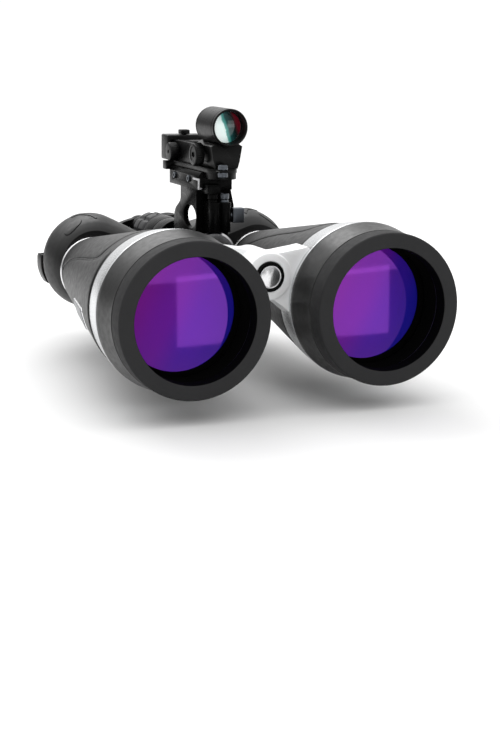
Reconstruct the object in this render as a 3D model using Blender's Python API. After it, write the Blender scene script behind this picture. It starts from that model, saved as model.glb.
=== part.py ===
"""Giant Porro-prism astronomy binoculars on their tripod post, with a red-dot finder.

The two halves hinge about one centre rod, the rod slides in a carriage on the tripod post, and
the carriage carries the finder bracket. Bench coordinates are millimetres: X across, +Y towards
the eyepieces, +Z up, with the origin between the two objective axes at the front rims. The part's
own origin is the centre of the tripod post's socket face, so one empty shifts everything there.
"left" is the user's left half, which lies on the +X side.
"""
import math

import bmesh
import bpy

MM = 0.001
GAP = 0.3

# Optical layout
BARREL_X = 66.25
EYEPIECE_X = 32.5
EYEPIECE_Z = 5.0
ROD_Z = 18.6

# Objective end, radii about the barrel axis
APERTURE_R = 39.9
RIM_R = 50.0
RIM_LENGTH = 14.7
HOOD_FLARE_R = 52.5
HOOD_END_Y = 39.3
BAND_REAR_R = 49.7
BAND_FRONT_Y = HOOD_END_Y + GAP
BAND_REAR_Y = 62.5
TUBE_R = 45.0
LENS_R = 39.3
LENS_FRONT_Y = 30.5
LENS_REAR_Y = 48.0

# Tapering barrel, from the band back to the bright ring
CONE_END_Y = 216.4
CONE_END_R = 24.4
RING_REAR_Y = 219.2
SKIN = 3.2

# Centre hinge
ROD_R = 8.5
BORE_R = 8.9
FRONT_HUB_R = 15.8
LEFT_HUB = (42.0, 62.3)
RIGHT_HUB = (62.9, 83.0)
REAR_HUB_R = 16.2
LEFT_LUG = (219.8, 236.2)
RIGHT_LUG = (236.8, 254.0)
HUB_CLEARANCE_R = 17.5
ROD_FRONT_Y = 45.1
ROD_REAR_Y = 291.0
SHAFT_R = 5.0
SHAFT_BORE_R = 5.4

# Prism housing
HOUSING_FRONT_Y = 219.5
HOUSING_REAR_Y = 286.0
WALL = 3.0
COVER_THICK = 4.0

# Tripod post and carriage
POST_Y = 158.0
FOOT_Z = -66.0
POST_R = 11.0
FOOT_R = 16.0
FOOT_THICK = 6.0
CARRIAGE_R = 15.5
COLLAR_R = 17.2
CARRIAGE = (144.0, 180.0)
SOCKET_R = 6.0
SOCKET_DEPTH = 14.0
THREAD_R = 3.2

# Finder mount and finder
CHEEK_IN = 8.6
CHEEK_OUT = 12.1
SHOE_TOP_Z = 77.5
WINDOW_Y = 160.2
WINDOW_Z = 45.0
WINDOW_HALF_LENGTH = 12.7
WINDOW_HALF_HEIGHT = 8.4
STUD_X = (-2.9, 5.1)
STUD_R = 3.8
CLAMP_Z = 47.6
CLAMP_Y = 136.6
SET_SCREW_Y = (191.0, 162.0)
SET_SCREW_Z = 71.5
FINDER_X = 1.5
TUBE_AXIS_Z = 109.5
SIGHT_R = 12.8
SIGHT_BORE_R = 11.2

BIG = 32
MEDIUM = 24
SMALL = 16


def clear_scene():
    for item in list(bpy.data.objects):
        bpy.data.objects.remove(item, do_unlink=True)


def make_material(name, colour, roughness, metallic=0.0):
    material = bpy.data.materials.new(name)
    material.use_nodes = True
    shader = material.node_tree.nodes["Principled BSDF"]
    shader.inputs["Base Color"].default_value = (*colour, 1.0)
    shader.inputs["Roughness"].default_value = roughness
    shader.inputs["Metallic"].default_value = metallic
    return material


def make_materials():
    return {
        "rubber": make_material("armour_rubber", (0.045, 0.046, 0.050), 0.55),
        "rim": make_material("rim_rubber", (0.038, 0.039, 0.042), 0.60),
        "silver": make_material("satin_silver", (0.70, 0.71, 0.72), 0.28, 1.0),
        "chrome": make_material("bright_metal", (0.82, 0.82, 0.83), 0.15, 1.0),
        "black": make_material("black_metal", (0.012, 0.012, 0.014), 0.35, 0.6),
        "plastic": make_material("black_plastic", (0.018, 0.018, 0.020), 0.42),
        "glass": make_material("coated_glass", (0.16, 0.03, 0.38), 0.05),
        "prism": make_material("prism_glass", (0.80, 0.84, 0.86), 0.05),
        "brass": make_material("brass", (0.62, 0.44, 0.16), 0.30, 1.0),
        "steel": make_material("steel", (0.50, 0.50, 0.52), 0.25, 1.0),
    }


def build_object(name, shape, material, pivot=(0.0, 0.0, 0.0), side=1, parent=None):
    """Make one object from (points, faces) in millimetres; side -1 mirrors it across X."""
    points, faces = shape
    pivot = (pivot[0] * side, pivot[1], pivot[2])
    mesh = bpy.data.meshes.new(name)
    local = []
    for x, y, z in points:
        local.append(((x * side - pivot[0]) * MM, (y - pivot[1]) * MM, (z - pivot[2]) * MM))
    mesh.from_pydata(local, [], faces)
    work = bmesh.new()
    work.from_mesh(mesh)
    bmesh.ops.recalc_face_normals(work, faces=work.faces)
    work.to_mesh(mesh)
    work.free()
    mesh.shade_smooth()
    mesh.set_sharp_from_angle(angle=math.radians(32))
    if material is not None:
        mesh.materials.append(material)
    item = bpy.data.objects.new(name, mesh)
    item.location = [value * MM for value in pivot]
    item.parent = parent
    bpy.context.scene.collection.objects.link(item)
    return item


def turned(profile, centre=(0.0, 0.0, 0.0), axis="Y", segments=MEDIUM, start=0.0, sweep=360.0):
    """Sweep a closed (radius, along) profile about an axis through centre."""
    full = abs(sweep - 360.0) < 1e-6
    count = segments if full else segments + 1
    points = []
    rows = []
    for radius, along in profile:
        row = []
        for step in range(count):
            if radius < 1e-6 and step > 0:
                row.append(row[0])
                continue
            angle = math.radians(start + sweep * step / segments)
            a = radius * math.cos(angle)
            b = radius * math.sin(angle)
            offset = {"X": (along, a, b), "Y": (a, along, b), "Z": (a, b, along)}[axis]
            row.append(len(points))
            points.append(tuple(c + o for c, o in zip(centre, offset)))
        rows.append(row)
    faces = []
    for index, row in enumerate(rows):
        after = rows[(index + 1) % len(rows)]
        for step in range(segments):
            following = (step + 1) % count
            corners = [row[step], row[following], after[following], after[step]]
            unique = list(dict.fromkeys(corners))
            if len(unique) > 2:
                faces.append(unique)
    if not full:
        faces.append([row[0] for row in rows])
        faces.append([row[-1] for row in rows])
    return points, faces


def prism(outline, low, high, axis="Y"):
    """Extrude a flat outline; it is (x, z) for axis Y, (y, z) for axis X, (x, y) for axis Z."""
    points = []
    for along in (low, high):
        for a, b in outline:
            points.append({"X": (along, a, b), "Y": (a, along, b), "Z": (a, b, along)}[axis])
    return points, closed_sides(2, len(outline))


def closed_sides(rings, count):
    faces = []
    for ring in range(rings - 1):
        for step in range(count):
            following = (step + 1) % count
            here = ring * count
            above = here + count
            faces.append([here + step, here + following, above + following, above + step])
    faces.append(list(range(count)))
    faces.append(list(range((rings - 1) * count, rings * count)))
    return faces


def loft(rings):
    points = [point for ring in rings for point in ring]
    return points, closed_sides(len(rings), len(rings[0]))


def box(x_range, y_range, z_range):
    outline = [(x_range[0], z_range[0]), (x_range[1], z_range[0]),
               (x_range[1], z_range[1]), (x_range[0], z_range[1])]
    return prism(outline, y_range[0], y_range[1])


def disc(radius, low, high, centre=(0.0, 0.0, 0.0), axis="Y", segments=MEDIUM, chamfer=0.0,
         start=0.0):
    profile = [(0.0, low), (radius - chamfer, low)]
    if chamfer:
        profile += [(radius, low + chamfer), (radius, high - chamfer)]
    else:
        profile += [(radius, high)]
    profile += [(radius - chamfer, high), (0.0, high)] if chamfer else [(0.0, high)]
    return turned(profile, centre, axis, segments, start)


def tube(inner, outer, low, high, centre=(0.0, 0.0, 0.0), axis="Y", segments=MEDIUM):
    profile = [(inner, low), (outer, low), (outer, high), (inner, high)]
    return turned(profile, centre, axis, segments)


def combine(target, shape, operation, side=1):
    """Cut a shape from target, or join it on, with a Boolean and a hidden guide."""
    guide = build_object(target.name + "_guide", shape, None, side=side, parent=target.parent)
    guide.hide_render = True
    guide.display_type = "WIRE"
    step = target.modifiers.new(operation.lower(), "BOOLEAN")
    step.operation = operation
    step.object = guide


def join(target, shape, side=1):
    combine(target, shape, "UNION", side)


def cut(target, shape, side=1):
    combine(target, shape, "DIFFERENCE", side)


def soften(target, width, segments=1):
    step = target.modifiers.new("soften", "BEVEL")
    step.width = width * MM
    step.segments = segments
    step.limit_method = "ANGLE"
    step.angle_limit = math.radians(50)


def hull_outline(circles, count):
    """Outline of a belt round two circles (x, z, radius), one point for each direction."""
    outline = []
    for step in range(count):
        angle = 2.0 * math.pi * (step + 0.5) / count
        across = math.cos(angle)
        up = math.sin(angle)
        x, z, radius = max(circles, key=lambda c: c[0] * across + c[1] * up + c[2])
        outline.append((x + radius * across, z + radius * up))
    return outline


def cone_radius(y, inset=0.0):
    """Radius of the barrel's outer skin between the band and the bright ring."""
    share = (y - BAND_REAR_Y) / (CONE_END_Y - BAND_REAR_Y)
    return BAND_REAR_R + (CONE_END_R - BAND_REAR_R) * share - inset


def housing_sections():
    """Sections (y, outer circle radius, outer circle x, inner circle radius), front to rear."""
    return [(HOUSING_FRONT_Y, 26.5, 64.0, 15.0), (227.0, 31.2, 62.5, 18.5),
            (236.0, 34.3, 61.5, 20.5), (246.0, 35.3, 61.0, 21.0),
            (257.0, 33.6, 59.5, 21.0), (271.0, 29.5, 57.0, 20.5),
            (HOUSING_REAR_Y, 26.0, 55.0, 20.0)]


def housing_outline(section, inset=0.0):
    y, outer, outer_x, inner = section
    circles = [(outer_x, 4.0, outer - inset), (28.0, 3.0, inner - inset)]
    return [(x, y, z) for x, z in hull_outline(circles, 32)]


def web_outline(room=0.0):
    """Bridge web from the rod to the barrel, as (x, z), with room added above and below."""
    return [(0.0, 4.0), (0.0, ROD_Z + 14.5), (14.0, 34.6 + room), (27.0, 36.6 + room),
            (44.0, 20.0), (44.0, -11.5 - room), (21.0, -11.0 - room), (10.0, -2.0)]


def make_objective_end(word, side, hub, kit, bench):
    centre = (BARREL_X, 0.0, 0.0)
    pivot = (0.0, 0.0, ROD_Z)

    def add(name, shape, material):
        return build_object(word + "_" + name, shape, kit[material], pivot, side, bench)

    rim = [(APERTURE_R, 0.6), (APERTURE_R + 0.6, 0.0), (RIM_R - 0.9, 0.0), (RIM_R, 0.9),
           (RIM_R, RIM_LENGTH), (APERTURE_R + 1.6, RIM_LENGTH), (APERTURE_R, RIM_LENGTH - 4.0)]
    add("rim_ring", turned(rim, centre, segments=BIG), "rim")
    hood_front = RIM_LENGTH + GAP
    hood = [(42.0, hood_front), (RIM_R - 0.4, hood_front), (RIM_R, hood_front + 0.8),
            (HOOD_FLARE_R, HOOD_END_Y), (42.6, HOOD_END_Y)]
    add("hood", turned(hood, centre, segments=BIG), "rubber")
    add("lens_retainer", tube(37.8, 41.5, 30.6, 34.3, centre, segments=BIG), "black")
    lens = [(0.0, LENS_FRONT_Y), (20.0, LENS_FRONT_Y + 1.2), (LENS_R, LENS_FRONT_Y + 4.6),
            (LENS_R, LENS_REAR_Y - 1.8), (20.0, LENS_REAR_Y - 0.4), (0.0, LENS_REAR_Y)]
    add("objective_lens", turned(lens, centre, segments=BIG), "glass")
    barrel = [(39.7, 34.7), (41.5, 34.7), (41.5, BAND_FRONT_Y), (TUBE_R, BAND_FRONT_Y),
              (TUBE_R, BAND_REAR_Y), (20.9, CONE_END_Y), (19.4, CONE_END_Y), (42.0, 66.0),
              (42.0, 50.4), (37.4, 50.4), (37.4, 46.9), (39.7, 46.9)]
    add("barrel_tube", turned(barrel, centre, segments=BIG), "black")
    armour = [(BAND_REAR_R, BAND_REAR_Y + GAP), (CONE_END_R, CONE_END_Y - GAP),
              (CONE_END_R - SKIN, CONE_END_Y - GAP), (BAND_REAR_R - SKIN - 1.0, BAND_REAR_Y + GAP)]
    skin = add("barrel_armour", turned(armour, centre, segments=BIG), "rubber")
    if hub[1] > BAND_REAR_Y:
        cut(skin, prism(web_outline(0.4), 50.0, hub[1]), side)
    ring = [(21.5, CONE_END_Y + GAP), (24.8, CONE_END_Y + GAP), (24.8, RING_REAR_Y),
            (21.5, RING_REAR_Y)]
    add("bright_ring", turned(ring, centre, segments=BIG), "chrome")


def make_casting(word, side, hub, kit, bench):
    """Silver band round the barrel, with the bridge web and the front hub.

    The right half's hub lies behind its band, so a saddle on the barrel joins the two.
    """
    centre = (BARREL_X, 0.0, 0.0)
    rod = (0.0, 0.0, ROD_Z)
    band = [(TUBE_R - 2.0, BAND_FRONT_Y), (HOOD_FLARE_R, BAND_FRONT_Y), (51.6, 49.0),
            (BAND_REAR_R, BAND_REAR_Y), (TUBE_R - 2.0, BAND_REAR_Y)]
    casting = build_object(word + "_bridge_casting", turned(band, centre, segments=BIG),
                           kit["silver"], rod, side, bench)
    join(casting, prism(web_outline(), hub[0] + 1.0, hub[1] - 0.6), side)
    join(casting, disc(FRONT_HUB_R, hub[0], hub[1], rod, segments=MEDIUM, chamfer=1.0), side)
    if hub[1] > BAND_REAR_Y:
        saddle = [(TUBE_R - 3.0, BAND_REAR_Y - 4.0),
                  (cone_radius(BAND_REAR_Y, 1.6), BAND_REAR_Y - 4.0),
                  (cone_radius(hub[1], 1.6), hub[1] - 0.6), (TUBE_R - 7.0, hub[1] - 0.6)]
        join(casting, turned(saddle, centre, segments=8, start=146.0, sweep=46.0), side)
    room = 0.5
    void = [(0.0, BAND_FRONT_Y - 4.0), (TUBE_R + room, BAND_FRONT_Y - 4.0),
            (TUBE_R + room, BAND_REAR_Y + 0.4), (20.9 + room, CONE_END_Y + 0.4),
            (0.0, CONE_END_Y + 0.4)]
    cut(casting, turned(void, centre, segments=BIG, start=4.0), side)
    cut(casting, disc(BORE_R, hub[0] - 2.0, hub[1] + 2.0, rod, segments=24, start=4.0), side)
    return casting


def make_housing(word, side, lug, kit, bench):
    rod = (0.0, 0.0, ROD_Z)
    housing = build_object(word + "_prism_housing",
                           loft([housing_outline(part) for part in housing_sections()]),
                           kit["rubber"], rod, side, bench)
    inside = [list(part) for part in housing_sections()]
    inside[0][0] += WALL + 0.5
    inside[-1][0] += 2.0
    cavity_rings = []
    for section in inside:
        cavity_rings.append([(max(x, clear_of_rod(z)), y, z)
                             for x, y, z in housing_outline(section, WALL)])
    cut(housing, loft(cavity_rings), side)
    cut(housing, disc(HUB_CLEARANCE_R, 200.0, 300.0, rod, segments=MEDIUM), side)
    hub_sector = [(REAR_HUB_R - 2.5, lug[0]), (HUB_CLEARANCE_R + 1.4, lug[0]),
                  (HUB_CLEARANCE_R + 1.4, lug[1]), (REAR_HUB_R - 2.5, lug[1])]
    join(housing, turned(hub_sector, rod, segments=8, start=-61.0, sweep=62.0), side)
    join(housing, tube(BORE_R, REAR_HUB_R, lug[0], lug[1], rod), side)
    cut(housing, disc(18.6, HOUSING_FRONT_Y - 4.0, HOUSING_FRONT_Y + 6.0,
                      (BARREL_X, 0.0, 0.0), segments=MEDIUM), side)
    return housing


def clear_of_rod(z):
    """Smallest x that leaves a full wall beside the rod's clearance at height z."""
    reach = HUB_CLEARANCE_R + WALL
    rise = z - ROD_Z
    return math.sqrt(reach * reach - rise * rise) if abs(rise) < reach else 0.0


def porro_prism(centre, direction, half_length, half_width, base_y, apex_y):
    """Right-angle prism whose long face lies at base_y and whose ridge lies at apex_y."""
    ux, uz = direction
    size = math.hypot(ux, uz)
    ux, uz = ux / size, uz / size
    rings = []
    for edge in (-half_width, half_width):
        ring = []
        for along, y in ((-half_length, base_y), (half_length, base_y), (0.0, apex_y)):
            ring.append((centre[0] + ux * along - uz * edge, y, centre[1] + uz * along + ux * edge))
        rings.append(ring)
    return loft(rings)


def make_prisms(word, side, kit, bench):
    pivot = (0.0, 0.0, ROD_Z)
    middle = (BARREL_X - 16.0, 16.0)
    first = ((BARREL_X + middle[0]) / 2.0, middle[1] / 2.0)
    second = ((EYEPIECE_X + middle[0]) / 2.0, (EYEPIECE_Z + middle[1]) / 2.0)
    rear = porro_prism(first, (-1.0, 1.0), 21.0, 11.0, 252.0, 273.0)
    build_object(word + "_rear_prism", rear, kit["prism"], pivot, side, bench)
    toward = (EYEPIECE_X - middle[0], EYEPIECE_Z - middle[1])
    front = porro_prism(second, toward, 17.5, 10.0, 250.0, 232.5)
    build_object(word + "_front_prism", front, kit["prism"], pivot, side, bench)


def make_rear_parts(word, side, kit, bench):
    pivot = (0.0, 0.0, ROD_Z)
    eye = (EYEPIECE_X, 0.0, EYEPIECE_Z)
    low = HOUSING_REAR_Y + GAP
    outline = [(x, z) for x, y, z in housing_outline(housing_sections()[-1], 0.6)]
    cover = build_object(word + "_rear_cover", prism(outline, low, low + COVER_THICK),
                         kit["plastic"], pivot, side, bench)
    cut(cover, disc(HUB_CLEARANCE_R, 280.0, 300.0, (0.0, 0.0, ROD_Z)), side)
    join(cover, disc(15.4, low + 1.0, 308.0, eye), side)
    cut(cover, disc(12.6, low - 2.0, 310.0, eye), side)
    strap_y = (250.5, 262.0)
    slot_y = (253.2, 259.4)
    guard = [(86.0, 8.5), (96.0, 8.5), (96.8, 6.5), (96.9, 2.0), (96.7, -1.5), (95.8, -5.5),
             (94.2, -9.5), (92.2, -12.8), (90.0, -13.6), (84.0, -13.6)]
    slot = [(84.0, 20.0), (95.0, 20.0), (95.0, 2.0), (94.8, -1.5), (93.9, -5.5), (92.3, -9.5),
            (90.0, -13.5), (87.8, -17.0), (84.0, -17.0)]
    lug = build_object(word + "_strap_lug", prism(guard, *strap_y), kit["plastic"], pivot,
                       side, bench)
    cut(lug, loft([housing_outline(part, -GAP) for part in housing_sections()]), side)
    cut(lug, prism(slot, *slot_y), side)


def make_eyepiece(word, side, arm, kit, bench):
    """Sliding eyepiece with the bridge arm that ties it to the focus shaft, and its eyecup."""
    eye = (EYEPIECE_X, 0.0, EYEPIECE_Z)
    shaft = (0.0, 0.0, ROD_Z)
    barrel = [(15.8, 296.5), (19.0, 296.5), (19.0, 321.6), (17.6, 321.6), (17.6, 330.0),
              (13.4, 330.0), (13.4, 325.0), (15.8, 322.0)]
    body = build_object(word + "_eyepiece", turned(barrel, eye), kit["black"], eye, side, bench)
    web = [(1.0, 10.0), (1.0, ROD_Z + 8.2), (12.0, ROD_Z + 6.0), (24.0, 21.0), (30.0, 21.0),
           (17.0, -6.0), (11.0, 2.0)]
    join(body, prism(web, arm[0] + 0.4, arm[1] - 0.4), side)
    join(body, disc(9.6, arm[0], arm[1], shaft, segments=24), side)
    cut(body, disc(15.8, 290.0, 321.0, eye), side)
    cut(body, disc(SHAFT_BORE_R, 290.0, 322.0, shaft, segments=20), side)
    lens = [(0.0, 324.8), (10.0, 325.6), (13.0, 327.0), (13.0, 329.5), (10.0, 330.0), (0.0, 330.2)]
    build_object(word + "_eye_lens", turned(lens, eye), kit["prism"], eye, side, bench)
    cup = [(18.1, 322.3), (21.3, 322.3), (21.5, 336.0), (20.0, 338.0), (17.0, 338.0),
           (15.8, 336.0), (15.8, 331.2), (18.1, 331.2)]
    build_object(word + "_eyecup", turned(cup, eye), kit["rubber"], eye, side, bench)


def make_halves(kit, bench):
    layout = (("left", 1, LEFT_HUB, LEFT_LUG, (297.0, 304.4)),
              ("right", -1, RIGHT_HUB, RIGHT_LUG, (305.0, 312.4)))
    for word, side, hub, lug, arm in layout:
        make_objective_end(word, side, hub, kit, bench)
        casting = make_casting(word, side, hub, kit, bench)
        if word == "left":
            cut(casting, disc(10.2, hub[0] - 2.0, ROD_FRONT_Y + 0.2, (0.0, 0.0, ROD_Z), start=4.0))
        make_housing(word, side, lug, kit, bench)
        make_prisms(word, side, kit, bench)
        make_rear_parts(word, side, kit, bench)
        make_eyepiece(word, side, arm, kit, bench)
    eye = (EYEPIECE_X, 0.0, EYEPIECE_Z)
    build_object("dioptre_ring", tube(19.35, 21.0, 313.2, 320.8, eye), kit["rubber"], eye, -1,
                 bench)
    plate = [(cone_radius(96.0, -0.3), 96.0), (cone_radius(96.0, -0.9), 96.0),
             (cone_radius(136.0, -0.9), 136.0), (cone_radius(136.0, -0.3), 136.0)]
    badge = turned(plate, (BARREL_X, 0.0, 0.0), segments=6, start=-27.0, sweep=20.0)
    build_object("right_badge_plate", badge, kit["steel"], (0.0, 0.0, ROD_Z), -1, bench)


def make_centre(kit, bench):
    rod = (0.0, 0.0, ROD_Z)
    bar = [(0.0, ROD_FRONT_Y), (ROD_R, ROD_FRONT_Y), (ROD_R, ROD_REAR_Y),
           (SHAFT_BORE_R, ROD_REAR_Y), (SHAFT_BORE_R, 232.0), (0.0, 232.0)]
    build_object("centre_rod", turned(bar, rod, segments=24), kit["black"], rod, 1, bench)
    bezel = [(7.9, 41.9), (8.5, 40.9), (9.6, 40.9), (9.8, 41.5), (9.8, 44.7), (7.9, 44.7)]
    build_object("cap_bezel", turned(bezel, rod), kit["black"], rod, 1, bench)
    dome = [(0.0, 40.3), (4.0, 40.6), (7.5, 41.6), (7.5, 44.7), (0.0, 44.7)]
    build_object("cap_disc", turned(dome, rod), kit["silver"], rod, 1, bench)
    wheel = [(BORE_R, 257.5), (14.4, 257.5), (16.0, 259.2), (16.0, 278.8), (14.4, 280.5),
             (BORE_R, 280.5)]
    build_object("focus_wheel", turned(wheel, rod), kit["rubber"], rod, 1, bench)
    shaft = [(0.0, 240.0), (SHAFT_R, 240.0), (SHAFT_R, 312.8), (8.0, 312.8), (8.0, 315.6),
             (6.8, 316.8), (0.0, 316.8)]
    build_object("focus_shaft", turned(shaft, rod, segments=20), kit["steel"], rod, 1, bench)


def make_carriage(kit, bench):
    """Sleeve that slides on the rod, with the tripod post below it."""
    rod = (0.0, 0.0, ROD_Z)
    post = (0.0, POST_Y, 0.0)
    sleeve = [(BORE_R, CARRIAGE[0]), (COLLAR_R - 1.0, CARRIAGE[0]), (COLLAR_R, CARRIAGE[0] + 1.0),
              (COLLAR_R, 147.0), (CARRIAGE_R, 147.0), (CARRIAGE_R, CARRIAGE[1]),
              (BORE_R, CARRIAGE[1])]
    body = build_object("post_carriage", turned(sleeve, rod), kit["black"], post, 1, bench)
    column = [(0.0, FOOT_Z), (FOOT_R - 1.0, FOOT_Z), (FOOT_R, FOOT_Z + 1.0),
              (FOOT_R, FOOT_Z + FOOT_THICK), (POST_R, FOOT_Z + FOOT_THICK + 2.0),
              (POST_R, ROD_Z - 12.0), (0.0, ROD_Z - 12.0)]
    join(body, turned(column, post, "Z"))
    cut(body, disc(BORE_R, 130.0, 200.0, rod, segments=MEDIUM))
    cut(body, disc(SOCKET_R + GAP, FOOT_Z - 2.0, FOOT_Z + SOCKET_DEPTH, post, "Z", SMALL))
    insert = tube(THREAD_R, SOCKET_R, FOOT_Z + 0.4, FOOT_Z + SOCKET_DEPTH - GAP, post, "Z", SMALL)
    build_object("socket_insert", insert, kit["brass"], post, 1, bench)
    axle = (0.0, POST_Y + 7.0, -2.0)
    knob = [(0.0, 11.2), (3.2, 11.2), (3.2, 12.6), (6.5, 12.6), (7.0, 13.4), (7.0, 19.4),
            (6.2, 20.4), (0.0, 20.4)]
    build_object("carriage_lock_knob", turned(knob, axle, "X", SMALL), kit["plastic"], axle, -1,
                 bench)


def make_bracket(kit, bench):
    """Finder bracket: two cheeks with an oval window under a dovetail shoe."""
    cheek = [(147.4, 27.0), (192.0, 27.0), (193.6, 32.0), (193.4, 41.0), (188.0, 48.0),
             (180.0, 54.5), (179.6, 66.5), (147.4, 66.5)]
    bracket = build_object("finder_bracket", prism(cheek, -CHEEK_OUT, CHEEK_OUT, "X"),
                           kit["black"], (0.0, POST_Y, ROD_Z), 1, bench)
    cut(bracket, box((-CHEEK_IN, CHEEK_IN), (151.0, 200.0), (20.0, 64.5)))
    window = []
    for step in range(20):
        angle = 2.0 * math.pi * step / 20
        window.append((WINDOW_Y + WINDOW_HALF_LENGTH * math.cos(angle),
                       WINDOW_Z + WINDOW_HALF_HEIGHT * math.sin(angle)))
    shoe = [(-12.5, 65.0), (12.5, 65.0), (12.5, 74.5), (10.5, SHOE_TOP_Z), (-10.5, SHOE_TOP_Z),
            (-12.5, 74.5)]
    join(bracket, prism(shoe, 142.0, 202.0))
    join(bracket, box((-9.2, 0.6), (133.0, 143.0), (63.2, 69.5)))
    rib = [(9.0, 70.0), (12.8, 70.0), (16.4, 53.3), (16.2, 47.0), (11.5, 47.0), (11.5, 58.0)]
    join(bracket, prism(rib, 147.8, 158.0))
    cut(bracket, prism(window, -20.0, 20.0, "X"))
    cut(bracket, disc(2.2, 130.0, 137.0, (-4.6, 0.0, 66.3), segments=6))
    cut(bracket, disc(CARRIAGE_R + GAP, 130.0, 210.0, (0.0, 0.0, ROD_Z), segments=BIG))
    for place_y in SET_SCREW_Y:
        cut(bracket, disc(2.6, -14.0, -9.0, (0.0, place_y, SET_SCREW_Z), "X", 12))


def make_mount_hardware(kit, bench):
    post = build_object("front_post", box((-6.8, 9.0), (131.5, 147.0), (36.3, 57.0)),
                        kit["black"], (0.0, POST_Y, ROD_Z), 1, bench)
    soften(post, 0.8)
    for x in STUD_X:
        join(post, disc(STUD_R, 56.0, 62.8, (x, 139.0, 0.0), "Z", SMALL, 0.6))
    axle = (0.0, CLAMP_Y, CLAMP_Z)
    cut(post, disc(2.3, 8.0, 12.0, axle, "X", 12))
    lever = build_object("thumb_lever", box((10.3, 19.0), (133.6, 139.6), (42.4, 52.8)),
                         kit["steel"], axle, 1, bench)
    soften(lever, 0.7)
    join(lever, disc(1.9, 8.4, 12.0, axle, "X", 12))
    nut = [(0.0, 34.6), (5.2, 34.6), (5.6, 35.0), (5.6, 38.0), (5.2, 38.4), (0.0, 38.4)]
    build_object("brass_nut", turned(nut, (-1.5, 158.0, 0.0), "Z", SMALL), kit["brass"],
                 (-1.5, 158.0, 36.0), 1, bench)
    for name, place_y in zip(("rear_set_screw", "front_set_screw"), SET_SCREW_Y):
        place = (0.0, place_y, SET_SCREW_Z)
        screw = build_object(name, disc(2.3, -13.4, -9.4, place, "X", 12), kit["steel"], place, 1,
                             bench)
        cut(screw, disc(1.2, -14.0, -11.8, place, "X", 6))


def slot_outline(x, low, high, radius, steps=8):
    """Outline in (x, y) of a plate with a round front end and a square rear end."""
    outline = []
    for step in range(steps + 1):
        angle = math.pi + math.pi * step / steps
        outline.append((x + radius * math.cos(angle), low + radius + radius * math.sin(angle)))
    return outline + [(x + radius, high), (x - radius, high)]


def make_finder(kit, bench):
    pivot = (FINDER_X, 196.0, 80.0)
    base = build_object("finder_base", prism(slot_outline(FINDER_X, 123.6, 206.0, 10.8), 77.8,
                                             80.9, "Z"),
                        kit["plastic"], pivot, 1, bench)
    join(base, prism(slot_outline(FINDER_X, 123.9, 141.6, 10.2), 73.6, 79.0, "Z"))
    join(base, box((-6.5, 0.2), (116.6, 126.0), (79.6, 80.5)))
    join(base, box((-14.5, 8.0), (204.0, 211.5), (74.4, 80.4)))
    cut(base, disc(2.1, 79.0, 81.4, (-3.2, 119.4, 0.0), "Z", SMALL))
    cradle = [(FINDER_X - 8.0, 81.2), (FINDER_X + 8.2, 81.2), (FINDER_X + 11.4, 96.4),
              (FINDER_X + 7.0, 99.0), (FINDER_X - 7.0, 99.0), (FINDER_X - 11.4, 96.4)]
    head = build_object("finder_head", prism(cradle, 124.3, 156.0), kit["plastic"], pivot, 1,
                        bench)
    join(head, box((FINDER_X - 9.5, FINDER_X + 9.5), (150.0, 205.6), (81.2, 95.6)))
    cut(head, disc(SIGHT_R + GAP, 110.0, 152.6, (FINDER_X, 0.0, TUBE_AXIS_Z), segments=BIG))
    cut(head, box((FINDER_X - 7.0, FINDER_X + 7.0), (157.0, 188.0), (88.0, 97.0)))
    eye = (FINDER_X, 0.0, TUBE_AXIS_Z)
    sight = [(SIGHT_BORE_R, 118.4), (SIGHT_BORE_R + 0.4, 118.0), (SIGHT_R - 0.4, 118.0),
             (SIGHT_R, 118.4), (SIGHT_R, 152.0), (SIGHT_BORE_R, 152.0)]
    build_object("sight_tube", turned(sight, eye, segments=32), kit["plastic"], pivot, 1, bench)
    build_object("sight_lens", disc(SIGHT_BORE_R - GAP, 126.0, 128.4, eye), kit["glass"], pivot,
                 1, bench)
    rear = build_object("finder_rear_block", box((-12.6, 15.6), (206.0, 221.0), (80.9, 99.0)),
                        kit["plastic"], pivot, 1, bench)
    soften(rear, 0.8)
    lamp = build_object("lamp_cover", box((FINDER_X - 3.4, FINDER_X + 3.4), (206.6, 214.0),
                                          (99.3, 102.6)), kit["plastic"], pivot, 1, bench)
    soften(lamp, 0.6)


def make_finder_knobs(kit, bench):
    switch = (0.0, 198.6, 87.6)
    dial = [(0.0, -8.4), (6.6, -8.4), (6.6, -14.2), (6.0, -14.9), (1.3, -14.9), (1.3, -13.4),
            (0.0, -13.4)]
    build_object("switch_knob", turned(dial, switch, "X", 20), kit["plastic"], switch, 1, bench)
    turn = (0.0, 142.6, 90.0)
    dial = [(0.0, -10.6), (8.1, -10.6), (8.1, -16.0), (7.4, -16.8), (1.7, -16.8), (1.7, -14.8),
            (0.0, -14.8)]
    build_object("azimuth_knob", turned(dial, turn, "X", 24), kit["plastic"], turn, 1, bench)
    tilt = (-3.2, 119.4, 80.0)
    drums = [(0.0, -4.4), (2.9, -4.4), (3.4, -3.9), (3.4, -1.0), (3.0, -0.7), (1.6, -0.7),
             (1.6, 0.8), (3.0, 0.8), (3.4, 1.1), (3.4, 4.0), (2.9, 4.5), (0.0, 4.5)]
    build_object("altitude_knob", turned(drums, tilt, "Z", SMALL), kit["chrome"], tilt, 1, bench)


def main():
    clear_scene()
    kit = make_materials()
    bench = bpy.data.objects.new("bench", None)
    bench.location = (0.0, -POST_Y * MM, -FOOT_Z * MM)
    bpy.context.scene.collection.objects.link(bench)
    make_halves(kit, bench)
    make_centre(kit, bench)
    make_carriage(kit, bench)
    make_bracket(kit, bench)
    make_mount_hardware(kit, bench)
    make_finder(kit, bench)
    make_finder_knobs(kit, bench)


main()
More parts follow.
